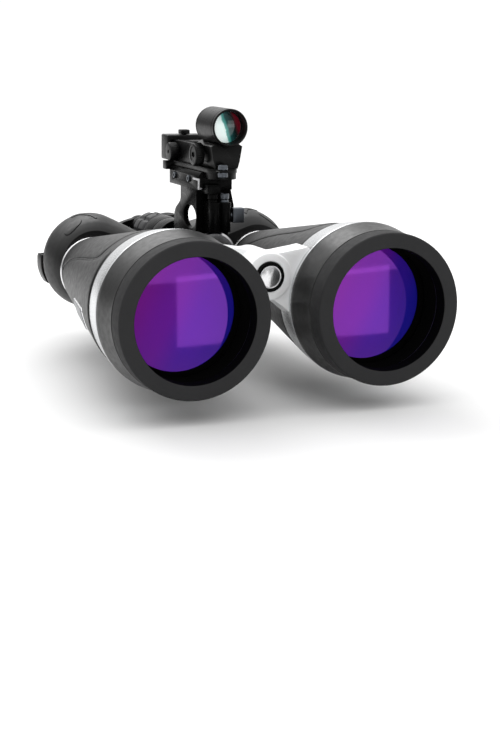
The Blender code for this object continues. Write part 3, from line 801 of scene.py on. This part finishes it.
def moulded_pad(add, name, outline, spine, surface, rise, node):
    """Raised rubber pad ringed by a narrow flat black band, painted shade along its seam."""
    add(name, pad(outline, spine, surface, rise), "armour", node, sharp=SHARP_PAD)
    shade_ring = widened(outline, spine, SHADE_RING_WIDTH)
    add(name + "_groove", pad(shade_ring, spine, surface, SHADE_RING_RISE, 0.3, 6), "baffle", node,
        sharp=SHARP_PAD)


def make_armour(word, side, body, hub):
    """Tapering armour with a raised top saddle, and the bright ring behind it."""
    add = pieces_on(body, side, word)
    skin = [(BAND_REAR_R - 4.0, BAND_REAR_Y + 0.3), (BAND_REAR_R - 0.9, BAND_REAR_Y + 0.3),
            (BAND_REAR_R - 0.35, BAND_REAR_Y + 0.9)]
    for step in range(37):
        y = BAND_REAR_Y + 2.0 + (CONE_END_Y - 12.0 - BAND_REAR_Y) * step / 36
        skin.append((cone_radius(y), y))
    skin += [(CONE_END_R + 0.35, CONE_END_Y - 4.0), (CONE_END_R + 0.3, CONE_END_Y - 1.2),
             (CONE_END_R - 0.5, CONE_END_Y - 0.3), (CONE_END_R - 3.2, CONE_END_Y - 0.3)]
    armour = add("armour_sleeve", turned(skin, BARREL, segments=FINE), "armour",
                 "barrel_armour")
    if hub[1] > BAND_REAR_Y:
        notch = [(x, z + (0.5 if z > 10.0 else -0.5)) for x, z in web_outline()]
        cut(armour, prism(notch, 50.0, hub[1]), side)
    saddle = smooth_loop([(152.0, 209.0), (141.0, 190.0), (128.0, 166.0), (120.5, 140.0),
                          (117.5, 112.0), (113.0, 92.0), (100.0, 85.5), (80.0, 85.0),
                          (62.0, 85.5), (49.0, 87.0), (40.5, 93.0), (37.5, 117.0),
                          (35.5, 150.0), (29.0, 185.0), (16.0, 203.0), (8.0, 210.0),
                          (45.0, 211.0), (84.0, 211.0), (124.0, 211.0)], 8)
    moulded_pad(add, "armour_saddle", saddle, [(84.0, 112.0), (84.0, 185.0)], on_cone, 0.6,
                "barrel_armour")
    flank = smooth_loop([(46.0, 68.0), (41.0, 80.0), (37.5, 92.0), (34.5, 117.0), (32.0, 150.0),
                         (25.0, 183.0), (12.0, 198.0), (-8.0, 203.0), (-34.0, 204.0),
                         (-60.0, 203.0), (-78.0, 190.0), (-80.0, 150.0), (-80.0, 100.0),
                         (-76.0, 72.0), (-60.0, 65.5), (-20.0, 64.6), (20.0, 64.8)], 8)
    moulded_pad(add, "armour_flank", flank, [(-22.0, 90.0), (-24.0, 180.0)], on_cone, 0.9,
                "barrel_armour")
    ring = [(21.5, 216.75)]
    for bead in (217.35, 218.6):
        for step in range(7):
            angle = math.pi * step / 6
            ring.append((24.35 + 0.5 * math.sin(angle), bead - 0.55 * math.cos(angle)))
    ring.append((21.5, 219.15))
    add("twin_ring", turned(ring, BARREL, segments=FINE), "chrome", "bright_ring")


def make_housing(word, side, body, lug):
    """Prism housing with its hinge lug, thumb pad and hooked grip mark."""
    add = pieces_on(body, side, word)
    rows = 46
    rolled_ends = {0: 1.2, 1: 0.35, rows: 1.0}
    rings = []
    for index in range(rows + 1):
        y = HOUSING_Y[0] + (HOUSING_Y[-1] - HOUSING_Y[0]) * index / rows
        circles = housing_circles(y, rolled_ends.get(index, 0.0))
        rings.append([(x, y, z) for x, z in hull_outline(circles)])
    housing = add("housing_shell", loft(rings), "armour", "prism_housing")
    drill(housing, CLEARANCE_R, 200.0, 300.0, side=side)
    drill(housing, 18.6, 210.0, 226.0, BARREL, side=side)
    knuckle = add("hinge_knuckle", turned(pipe(BORE_R, LUG_R, lug[0], lug[1], 0.6), ROD),
                  "alloy", "prism_housing")
    join(knuckle, box((14.0, 19.5), (lug[0] + 0.4, lug[1] - 0.4), (ROD_Z - 9.0, ROD_Z + 1.0)),
         side)
    thumb = smooth_loop([(45.0, 228.0), (50.0, 231.0), (56.0, 232.8), (64.0, 234.2),
                         (71.0, 234.0), (74.0, 231.0), (70.0, 227.6), (62.0, 225.4),
                         (54.0, 224.4), (47.0, 225.0)], 9)
    moulded_pad(add, "thumb_pad", thumb, [(56.0, 228.4), (66.0, 230.0)], on_housing, 0.4,
                "prism_housing")
    hook = smooth_loop([(68.0, 243.0), (76.0, 243.2), (83.0, 240.0), (89.0, 234.6),
                        (93.0, 230.6), (95.0, 233.0), (91.0, 238.4), (84.0, 244.6),
                        (76.0, 248.2), (68.0, 247.6)], 9)
    moulded_pad(add, "grip_hook", hook, [(72.0, 245.4), (91.0, 234.0)], on_housing, 0.4,
                "prism_housing")


def make_rear(word, side, body):
    """Rear cover plate with its screws and eyepiece sleeve, and the strap lug."""
    add = pieces_on(body, side, word)
    outline = hull_outline(housing_circles(HOUSING_Y[-1], 0.6))
    cover = add("cover_plate", prism(outline, 286.3, 290.3), "plastic", "rear_cover")
    drill(cover, CLEARANCE_R, 280.0, 300.0, side=side)
    round_edges(cover, 0.7, 3)
    add("eyepiece_sleeve", turned(pipe(12.6, 15.4, 287.0, 308.0), EYE), "chrome", "rear_cover")
    for index, (x, z) in enumerate(((76.0, 4.0), (57.0, 24.0), (57.0, -16.0), (33.0, -13.5))):
        add_screw(add, f"cover_screw_{index}", (x, 290.2, z), 1.9, "rear_cover", side)
    guard = [(88.0, 8.5), (96.0, 8.5), (96.8, 6.5), (96.9, 2.0), (96.7, -1.5), (95.8, -5.5),
             (94.2, -9.5), (92.2, -12.8), (90.0, -13.6), (84.0, -13.6)]
    slot = [(84.0, 20.0), (95.0, 20.0), (95.0, 2.0), (94.8, -1.5), (93.9, -5.5), (92.3, -9.5),
            (90.0, -13.5), (87.8, -17.0), (84.0, -17.0)]
    lug = add("strap_eye", prism(guard, 250.5, 262.0), "plastic", "strap_lug")
    cut(lug, prism(slot, 253.2, 259.4), side)
    round_edges(lug, 0.6, 3)


def add_screw(add, name, place, radius, node, side=1, height=0.8, finish="steel"):
    """Button-head screw with a hexagon socket, facing the way along Y that height points."""
    head = [(0.0, -0.4), (radius, -0.4), (radius, height * 0.35), (radius * 0.72, height),
            (0.0, height)]
    screw = add(name, turned(fillet(head, 0.25), place, segments=TINY), finish, node)
    low, high = (height - 0.9, height + 0.6) if height > 0 else (height - 0.6, height + 0.9)
    key = [(0.0, low), (radius * 0.5, low), (radius * 0.5, high), (0.0, high)]
    cut(screw, turned(key, place, segments=6), side)


def make_eyepiece(word, side, arm):
    """Sliding eyepiece with its bridge arm, eye lens and folding rubber cup."""
    add = pieces_on(word + "_eyepiece", side, word)
    barrel = [(15.8, 296.5), (19.0, 296.5), (19.0, 321.6), (17.6, 321.6), (17.6, 330.0),
              (13.4, 330.0), (13.4, 325.0), (15.8, 322.0)]
    body = add("eyepiece_barrel", turned(fillet(barrel, 0.4), EYE), "alloy", "eyepiece")
    web = [(1.0, 10.2), (1.0, ROD_Z + 8.2), (6.0, ROD_Z + 7.6), (12.0, ROD_Z + 6.0),
           (18.0, 22.4), (24.0, 21.0), (30.0, 20.8), (17.0, -6.0), (13.0, -2.0), (8.0, 5.0)]
    join(body, prism(web, arm[0] + 0.4, arm[1] - 0.4), side)
    join(body, turned(drum(9.6, arm[0], arm[1]), ROD, segments=SMALL), side)
    drill(body, 15.8, 290.0, 321.0, EYE, side=side)
    drill(body, 5.4, 290.0, 322.0, segments=SMALL, side=side)
    lens = dished(13.0, 325.6, 1.2, 11) + [(13.0, 328.8)] + dished(12.6, 330.0, -1.0, 11)[::-1]
    add("eye_glass", turned(lens, EYE), "glass", "eye_lens", sharp=SHARP_LENS)

    cup = [(18.1, 322.3), (21.0, 322.3), (21.3, 323.4), (21.3, 324.4), (21.3, 325.2),
           (21.35, 329.0), (21.4, 332.4), (21.45, 333.6), (21.5, 336.2), (20.2, 338.0),
           (17.2, 338.0), (15.9, 336.2), (15.8, 331.2), (18.1, 331.2)]
    add = pieces_on(word + "_eyecup", side, word)
    ribs = grooved(0.35, rib, 36, 20.6, (324.0, 333.0))
    add("folding_cup", turned(cup, EYE, segments=216, wave=ribs), "cup", "eyecup")


def make_dioptre():
    """Knurled ring on the right eyepiece."""
    ring = [(19.35, 313.2), (20.5, 313.2), (21.0, 313.7), (21.0, 314.2), (21.0, 319.8),
            (21.0, 320.3), (20.5, 320.8), (19.35, 320.8)]
    knurl = grooved(0.45, ridge, 20, 20.4, (313.8, 320.2))
    shape = turned(ring, (-EYE_X, 0.0, EYE_Z), segments=240, wave=knurl)
    pieces_on("dioptre_ring")("dioptre_grip", shape, "cup", "dioptre_ring")


# Blank badge: its middle on the armour, its half sizes and its corner radius
BADGE_Y, BADGE_DEGREES = 116.0, -17.0
BADGE_HALF_Y, BADGE_HALF_DEGREES = 19.6, 9.6
BADGE_CORNER_Y, BADGE_CORNER_DEGREES = 3.0, 4.0


def make_badge():
    """Blank plate in a bright frame, on the outer flank of the right barrel."""
    plate = []
    for up, out, start in ((1, 1, 0), (-1, 1, 90), (-1, -1, 180), (1, -1, 270)):
        middle_y = BADGE_Y + up * (BADGE_HALF_Y - BADGE_CORNER_Y)
        middle_degrees = BADGE_DEGREES + out * (BADGE_HALF_DEGREES - BADGE_CORNER_DEGREES)
        for step in range(9):
            angle = math.radians(start + 90.0 * step / 8)
            plate.append((middle_degrees + BADGE_CORNER_DEGREES * math.sin(angle),
                          middle_y + BADGE_CORNER_Y * math.cos(angle)))
    spine = [(BADGE_DEGREES, BADGE_Y - 14.0), (BADGE_DEGREES, BADGE_Y + 14.0)]
    add = pieces_on("right_half", -1, "right")
    add("badge", pad(plate, spine, on_cone, 1.9, -0.7), "badge", "badge_plate", sharp=SHARP_PAD)
    add("badge_frame", pad(widened(plate, spine, 0.9), spine, on_cone, 1.55, -0.7), "chrome",
        "badge_plate", sharp=SHARP_PAD)


# --- centre: rod, focus and post

def make_centre():
    """Hinge rod with its cap, focus wheel and focus shaft."""
    add = pieces_on("rod")
    bar = [(0.0, 45.1), (ROD_R, 45.1), (ROD_R, 291.0), (5.4, 291.0), (5.4, 232.0), (0.0, 232.0)]
    add("hinge_rod", turned(fillet(bar, 0.5), ROD), "alloy", "centre_rod")
    bezel = [(7.9, 42.2), (8.3, 41.1), (8.8, 40.9), (9.4, 40.9), (9.8, 41.4), (9.8, 44.7),
             (7.9, 44.7)]
    add("cap_ring", turned(fillet(bezel, 0.2), ROD), "alloy", "cap_bezel")
    dome = dished(6.5, 40.45, 0.75, 12)
    dome += [(6.7, 41.7), (6.95, 41.7), (7.1, 41.25), (7.4, 41.15), (7.6, 41.6), (7.6, 44.7),
             (0.0, 44.7)]
    add("cap_dome", turned(dome, ROD), "chrome", "cap_disc")
    wheel = [(BORE_R, 257.5), (13.6, 257.5), (15.0, 258.2), (15.8, 259.4), (16.0, 260.0),
             (16.0, 267.6), (15.0, 268.1), (15.0, 269.9), (16.0, 270.4), (16.0, 278.0),
             (15.8, 278.6), (15.0, 279.8), (13.6, 280.5), (BORE_R, 280.5)]
    flutes = grooved(1.5, flute, 9, 14.0, (258.6, 279.4))
    shape = turned(wheel, ROD, segments=288, wave=flutes)
    pieces_on("focus_wheel")("focus_grip", shape, "grip", "focus_wheel")
    shaft = [(0.0, 240.0), (5.0, 240.0), (5.0, 312.8), (8.0, 312.8), (8.0, 315.4), (6.6, 316.8),
             (0.0, 316.8)]
    shape = turned(fillet(shaft, 0.3), ROD, segments=SMALL)
    pieces_on("focus_shaft")("focus_spindle", shape, "chrome", "focus_shaft")


def make_carriage():
    """Carriage that slides on the rod, its tripod post, threaded socket and lock knob."""
    add = pieces_on("root")
    sleeve = [(BORE_R, 144.0), (15.8, 144.0), (COLLAR_R, 145.2), (COLLAR_R, 147.0),
              (CARRIAGE_R, 147.3), (CARRIAGE_R, 180.0), (BORE_R, 180.0)]
    body = add("carriage_body", turned(fillet(sleeve, 0.25), ROD), "alloy", "post_carriage")
    face = [(BORE_R + 0.6, 143.55), (15.4, 143.55), (16.9, 144.8), (16.9, 146.2),
            (BORE_R + 0.6, 146.2)]
    add("carriage_face", turned(fillet(face, 0.2), ROD), "collar", "post_carriage")
    column = [(0.0, FOOT_Z), (14.8, FOOT_Z), (16.0, FOOT_Z + 1.2), (16.0, FOOT_Z + 5.4),
              (15.4, FOOT_Z + 6.0), (12.4, FOOT_Z + 7.0), (11.0, FOOT_Z + 9.6),
              (11.0, FOOT_Z + 60.0), (11.0, ROD_Z - 12.0), (0.0, ROD_Z - 12.0)]
    join(body, turned(column, POST, "Z"))
    drill(body, BORE_R, 130.0, 200.0)
    drill(body, 6.3, FOOT_Z - 2.0, FOOT_Z + 14.0, POST, "Z", SMALL)
    thread = [(6.0, FOOT_Z + 13.7), (6.0, FOOT_Z + 0.4)]
    for turn in range(10):
        low = FOOT_Z + 0.4 + 1.3 * turn
        thread += [(3.7, low), (3.2, low + 0.65)]
    thread.append((3.7, FOOT_Z + 13.7))
    add("thread_insert", turned(thread, POST, "Z", SMALL), "brass", "socket_insert")
    axle = (0.0, POST_Y + 7.0, -2.0)
    knob = [(0.0, 11.2), (3.2, 11.2), (3.2, 12.6), (6.2, 12.6), (6.8, 13.2), (7.0, 14.0),
            (7.0, 18.6), (6.6, 19.8), (5.6, 20.4), (2.4, 20.4), (2.0, 20.0), (0.0, 20.0)]
    shape = turned(knob, axle, "X", wave=grooved(0.7, lobe, 8, 5.8))
    pieces_on("lock_knob", -1)("lock_grip", shape, "plastic", "carriage_lock_knob")


# --- finder mount

def arc(centre, radius, start, end, steps=8):
    """Points of an arc in the plane of the outline, between two angles in degrees."""
    points = []
    for step in range(steps + 1):
        across, up = polar(radius, math.radians(start + (end - start) * step / steps))
        points.append((centre[0] + across, centre[1] + up))
    return points


def make_bracket():
    """Finder bracket: two cheeks with an oval window, under a dovetail shoe."""
    cheek = ([(147.4, 27.0), (192.0, 27.0), (193.6, 32.0), (193.4, 41.0)]
             + arc((184.0, 41.0), 9.2, 0.0, 60.0) + arc((184.8, 57.5), 5.2, 240.0, 180.0)
             + [(179.6, 66.5), (147.4, 66.5)])
    add = pieces_on("root")
    bracket = add("bracket_body", prism(cheek, -12.1, 12.1, "X"), "alloy", "finder_bracket")
    cut(bracket, box((-8.6, 8.6), (151.0, 200.0), (20.0, 64.5)))
    window = []
    for step in range(56):
        angle = 2.0 * math.pi * step / 56
        window.append((WINDOW[0] + WINDOW_REACH[0] * math.cos(angle),
                       WINDOW[1] + WINDOW_REACH[1] * math.sin(angle)))
    shoe = [(-12.5, 65.0), (12.5, 65.0), (12.5, 74.5), (10.5, 77.5), (-10.5, 77.5),
            (-12.5, 74.5)]
    join(bracket, prism(shoe, 142.0, 202.0))
    join(bracket, box((-9.2, 0.6), (133.0, 143.0), (63.2, 69.5)))
    rib = [(9.0, 70.0), (12.8, 70.0), (16.4, 53.3), (16.2, 47.0), (11.5, 47.0), (11.5, 58.0)]
    join(bracket, prism(rib, 147.8, 158.0))
    cut(bracket, prism(window, -20.0, 20.0, "X"))
    drill(bracket, 15.8, 130.0, 210.0)
    for place_y in SET_SCREW_Y:
        drill(bracket, 2.6, -14.0, -9.0, (0.0, place_y, SET_SCREW_Z), "X", TINY)
    round_edges(bracket, 0.45)
    # A grey metal L on the front end of the -X shoe edge: a painted highlight on that edge
    highlight_strip = add("shoe_clip", box((-13.0, -12.2), (140.4, 152.4), (71.8, 73.2)), "collar",
               "finder_bracket")
    join(highlight_strip, box((-13.0, -12.2), (140.4, 142.0), (65.7, 73.2)))
    join(highlight_strip, box((-13.0, -10.4), (140.4, 142.0), (65.7, 66.9)))


def make_mount_hardware():
    """Clamp post with its two studs, thumb lever, knurled nut and set screws."""
    front = (arc((STUD_X[0], 135.4), 3.9, 180.0, 350.0, 10)
             + arc((STUD_X[1], 135.4), 3.9, 190.0, 360.0, 10)
             + [(9.0, 137.0), (9.0, 147.0), (-6.8, 147.0), (-6.8, 137.0)])
    add = pieces_on("root")
    post = add("clamp_post", prism(front, 36.3, 57.0, "Z"), "alloy", "front_post")
    round_edges(post, 0.45)
    for x in STUD_X:
        stud = fillet([(0.0, 55.0), (3.7, 55.0), (3.7, 57.6), (3.3, 57.9), (3.3, 58.6),
                       (3.8, 59.0), (3.8, 62.8), (2.0, 62.8), (2.0, 61.6), (0.0, 61.6)], 0.3)
        # The two studs are alike; the one on +X takes the grey steel finish as a painted highlight
        # on its top, the other black alloy
        word, finish = ("left", "steel") if x > 0 else ("right", "alloy")
        add("clamp_stud_" + word, turned(stud, (x, 139.0, 0.0), "Z", SMALL), finish,
            "front_post")
    shape = box((10.3, 19.0), (133.6, 139.6), (42.4, 52.8))
    lever = pieces_on("thumb_lever")("clamp_lever", shape, "steel", "thumb_lever")
    join(lever, turned(drum(1.9, 9.3, 12.0, 0.1), CLAMP, "X", TINY))
    round_edges(lever, 0.8, 3)
    nut = [(0.0, 34.6), (4.9, 34.6), (5.5, 35.1), (5.6, 35.4), (5.6, 37.6), (5.5, 37.9),
           (4.9, 38.4), (0.0, 38.4)]
    flats = grooved(0.22, ridge, 16, 5.3)
    add("knurled_nut", turned(nut, (-1.5, POST_Y, 0.0), "Z", 192, flats), "brass", "brass_nut")
    for end, place_y in zip(("rear", "front"), SET_SCREW_Y):
        place = (0.0, place_y, SET_SCREW_Z)
        screw = add(end + "_socket_screw", turned(drum(2.3, -13.4, -9.5, 0.3), place, "X", 32),
                    "steel", end + "_set_screw")
        cut(screw, turned([(0.0, -14.0), (1.2, -14.0), (1.2, -11.8), (0.0, -11.8)], place, "X", 6))


def plate_outline(low, high, radius):
    """Outline in (x, y) of a plate with a round front end and a square rear end."""
    rim = arc((SIGHT_X, low + radius), radius, 180.0, 360.0, 24)
    return rim + [(SIGHT_X + radius, high), (SIGHT_X - radius, high)]


def make_finder():
    """Red-dot finder: base, cradle and body, sight tube, coated window and battery block."""
    shape = prism(plate_outline(123.6, 206.0, 10.8), 77.8, 80.9, "Z")
    base = pieces_on("root")("finder_plate", shape, "plastic", "finder_base")
    join(base, prism(plate_outline(123.9, 141.6, 10.2), 73.6, 79.0, "Z"))
    join(base, box((-6.5, 0.2), (116.6, 126.0), (79.6, 80.5)))
    join(base, box((-14.5, 8.0), (204.0, 211.5), (74.4, 80.4)))
    drill(base, 2.1, 79.0, 81.4, (*TILT_SCREW[:2], 0.0), "Z", TINY)
    round_edges(base, 0.3)
    add = pieces_on("finder_head")
    half_cradle = [(8.2, 81.2), (9.6, 86.0), (11.4, 96.4), (7.0, 99.0)]
    cradle = [(SIGHT_X - 8.0, 81.2)]
    cradle += [(SIGHT_X + x, z) for x, z in half_cradle]
    cradle += [(SIGHT_X - x, z) for x, z in half_cradle[:0:-1]]
    head = add("finder_cradle", prism(cradle, 124.3, 156.0), "plastic", "finder_head")
    join(head, box((SIGHT_X - 9.5, SIGHT_X + 9.5), (150.0, 205.6), (81.2, 95.6)))
    drill(head, 13.1, 110.0, 152.6, SIGHT)
    cut(head, box((SIGHT_X - 7.0, SIGHT_X + 7.0), (157.0, 188.0), (88.0, 97.0)))
    round_edges(head, 0.5)
    sight = [(11.3, 118.5), (11.7, 118.0), (12.4, 118.0), (12.8, 118.4), (12.8, 121.4),
             (12.6, 121.6), (12.6, 121.9), (12.8, 122.1), (12.8, 149.6), (12.5, 149.9),
             (12.5, 150.2), (12.8, 150.5), (12.8, 151.6), (12.5, 152.0), (11.3, 152.0)]
    add("sight_barrel", turned(sight, SIGHT, segments=FINE), "plastic", "sight_tube")
    glass = dished(10.9, 126.1, 0.9, 8) + [(10.9, 128.4), (0.0, 128.4)]
    add("sight_window", turned(glass, SIGHT), "sight", "sight_lens", sharp=SHARP_LENS)
    add("sight_window_ring", turned(pipe(10.6, 11.15, 124.9, 126.0, 0.2), SIGHT), "alloy",
        "sight_lens")
    block = add("battery_block", box((-12.6, 15.6), (206.0, 221.0), (80.9, 99.0)), "plastic",
                "finder_rear_block")
    round_edges(block, 1.2, 3)
    for index, (x, z) in enumerate(((-9.4, 84.4), (12.4, 84.4), (-9.4, 95.4), (12.4, 95.4))):
        add_screw(add, f"block_screw_{index}", (x, 206.3, z), 1.3, "finder_rear_block",
                  height=-0.7, finish="alloy")
    lamp = add("lamp_hood", box((SIGHT_X - 3.4, SIGHT_X + 3.4), (206.6, 214.0), (99.3, 102.6)),
               "plastic", "lamp_cover")
    round_edges(lamp, 0.9, 3)


def make_finder_knobs():
    """Switch dial, azimuth dial and altitude screw."""
    dial = [(0.0, -8.4), (6.1, -8.4), (6.6, -8.9), (6.6, -14.0), (6.1, -14.7), (5.5, -14.9),
            (1.5, -14.9), (1.3, -14.7), (1.3, -13.4), (0.0, -13.4)]
    shape = turned(dial, (0.0, 198.6, 87.6), "X", 180, grooved(0.3, ridge, 15, 6.3))
    pieces_on("switch_knob")("switch_dial", shape, "plastic", "switch_knob")
    dial = [(0.0, -10.6), (7.7, -10.6), (8.1, -11.1), (8.1, -15.8), (7.5, -16.5), (7.0, -16.8),
            (5.4, -16.8), (5.1, -16.4), (2.2, -16.4), (1.9, -16.8), (1.7, -16.6), (1.7, -14.8),
            (0.0, -14.8)]
    shape = turned(dial, (0.0, 142.6, 90.0), "X", 240, grooved(0.35, ridge, 20, 7.9))
    pieces_on("azimuth_knob")("azimuth_dial", shape, "plastic", "azimuth_knob")
    drums = [(0.0, -4.4), (2.7, -4.4), (3.4, -3.8), (3.4, -1.1), (2.9, -0.7), (1.6, -0.7),
             (1.6, 0.8), (2.9, 0.8), (3.4, 1.2), (3.4, 3.9), (2.7, 4.5), (0.0, 4.5)]
    shape = turned(fillet(drums, 0.2), TILT_SCREW, "Z")
    pieces_on("altitude_knob")("altitude_screw", shape, "steel", "altitude_knob")


def dress_kept_nodes():
    """The inner tubes and prisms keep their CAD meshes and take real finishes."""
    for word in ("left", "right"):
        for part, finish in (("barrel_tube", "baffle"), ("rear_prism", "glass"),
                             ("front_prism", "glass")):
            for material_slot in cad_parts[f"{word}_{part}"].material_slots:
                material_slot.material = FINISHES[finish][0]


# --- stage

FLOOR_HALF = 40.0
FLOOR_LEVEL = -0.0004


def make_stage():
    kit = shaded("studio_floor")
    kit.settle({"Base Color": kit.blend(kit.noise(3.0), (0.78, 0.78, 0.78, 1.0),
                                        (0.81, 0.81, 0.81, 1.0)),
                "Roughness": 0.9, "Specular IOR Level": 0.1})
    mesh = bpy.data.meshes.new("studio_floor")
    corners = [(x * FLOOR_HALF, y * FLOOR_HALF, FLOOR_LEVEL)
               for x, y in ((-1, -1), (1, -1), (1, 1), (-1, 1))]
    mesh.from_pydata(corners, [], [(0, 1, 2, 3)])
    mesh.materials.append(kit.owner)
    linked("studio_floor", mesh)


def add_softbox(name, place, aim, width, height, power):
    light = bpy.data.lights.new(name, "AREA")
    light.shape = "RECTANGLE"
    light.size = width
    light.size_y = height
    light.energy = power
    item = linked(name, light)
    item.location = place
    item.rotation_euler = (Vector(aim) - Vector(place)).to_track_quat("-Z", "Y").to_euler()


# World light by direction: strengths, and the limits over which they change
ROOM_LIGHT = 0.24
CEILING_LIGHT = 1.55
CEILING_LIMITS = (0.05, 0.70)
WALL_LIGHT = 1.02
WALL_LIMITS = (0.72, 0.92)
WALL_MIDDLE = (0.40, 0.917, 0.0)

# Lamps, in metres and watts. Each lens panel has a name, a middle and a width, and its power
# is LENS_BOX_GLOW times pi times its area.
TOP_BOX_PLACE = (-0.1, FRONT_Y + 0.95, 1.05)
TOP_BOX_SIZE = (1.0, 0.7)
TOP_BOX_POWER = 7.5
LENS_BOX_Y = FRONT_Y - 1.2
LENS_BOX_Z = 0.172
LENS_BOX_TALL = 0.206
LENS_BOX_GLOW = 1.0
LENS_BOXES = (("near_panel", 0.288, 0.19), ("far_panel", 0.757, 0.345))


def make_lights():
    """Studio: a bright ceiling, a white wall behind and a dim room in front.

    The two weak panels in front stand where each objective's coating reflects one of them.
    """
    kit = Nodes(bpy.data.worlds.new("studio"), "Background", "Generated")
    ceiling = kit.mapped(kit.parts()["Z"], CEILING_LIMITS, (ROOM_LIGHT, CEILING_LIGHT),
                         "SMOOTHSTEP")
    behind = kit.add("ShaderNodeVectorMath", operation="DOT_PRODUCT")
    kit.feed(kit.place, behind.inputs[0])
    kit.feed(WALL_MIDDLE, behind.inputs[1])
    wall = kit.mapped(behind.outputs["Value"], WALL_LIMITS, (0.0, WALL_LIGHT), "SMOOTHSTEP")
    kit.settle({"Strength": kit.math("MAXIMUM", ceiling, wall), "Color": (1.0, 1.0, 1.0, 1.0)})
    bpy.context.scene.world = kit.owner
    add_softbox("top_box", TOP_BOX_PLACE, (0.0, FRONT_Y + 0.08, AXIS_Z), *TOP_BOX_SIZE,
                TOP_BOX_POWER)
    for name, centre, width in LENS_BOXES:
        add_softbox(name, (centre, LENS_BOX_Y, LENS_BOX_Z), (centre, FRONT_Y, LENS_BOX_Z), width,
                    LENS_BOX_TALL, LENS_BOX_GLOW * math.pi * width * LENS_BOX_TALL)


# Camera, in bench millimetres, degrees and millimetres of lens
CAMERA_PLACE = (-401.8, -897.0, 178.5)
CAMERA_AZIMUTH = -22.483
CAMERA_ELEVATION = 12.442
CAMERA_ROLL = 0.760
CAMERA_LENS = 76.3


def make_camera():
    camera = bpy.data.cameras.new("camera")
    camera.lens = CAMERA_LENS
    camera.sensor_width = 36.0
    camera.clip_start = 0.05
    item = linked("camera", camera)
    x, y, z = CAMERA_PLACE
    turn = (Matrix.Rotation(math.radians(CAMERA_AZIMUTH), 4, "Z")
            @ Matrix.Rotation(math.radians(90.0 - CAMERA_ELEVATION), 4, "X")
            @ Matrix.Rotation(math.radians(CAMERA_ROLL), 4, "Z"))
    item.matrix_world = Matrix.Translation((x * MM, FRONT_Y + y * MM, AXIS_Z + z * MM)) @ turn
    bpy.context.scene.camera = item


for word, side, hub, lug, arm in SIDES:
    half = word + "_half"
    make_objective_end(word, side, half)
    make_bridge(word, side, half, hub)
    make_armour(word, side, half, hub)
    make_housing(word, side, half, lug)
    make_rear(word, side, half)
    make_eyepiece(word, side, arm)
make_dioptre()
make_badge()
make_centre()
make_carriage()
make_bracket()
make_mount_hardware()
make_finder()
make_finder_knobs()
dress_kept_nodes()
make_stage()
make_lights()
make_camera()
bpy.context.scene.view_settings.view_transform = "Standard"
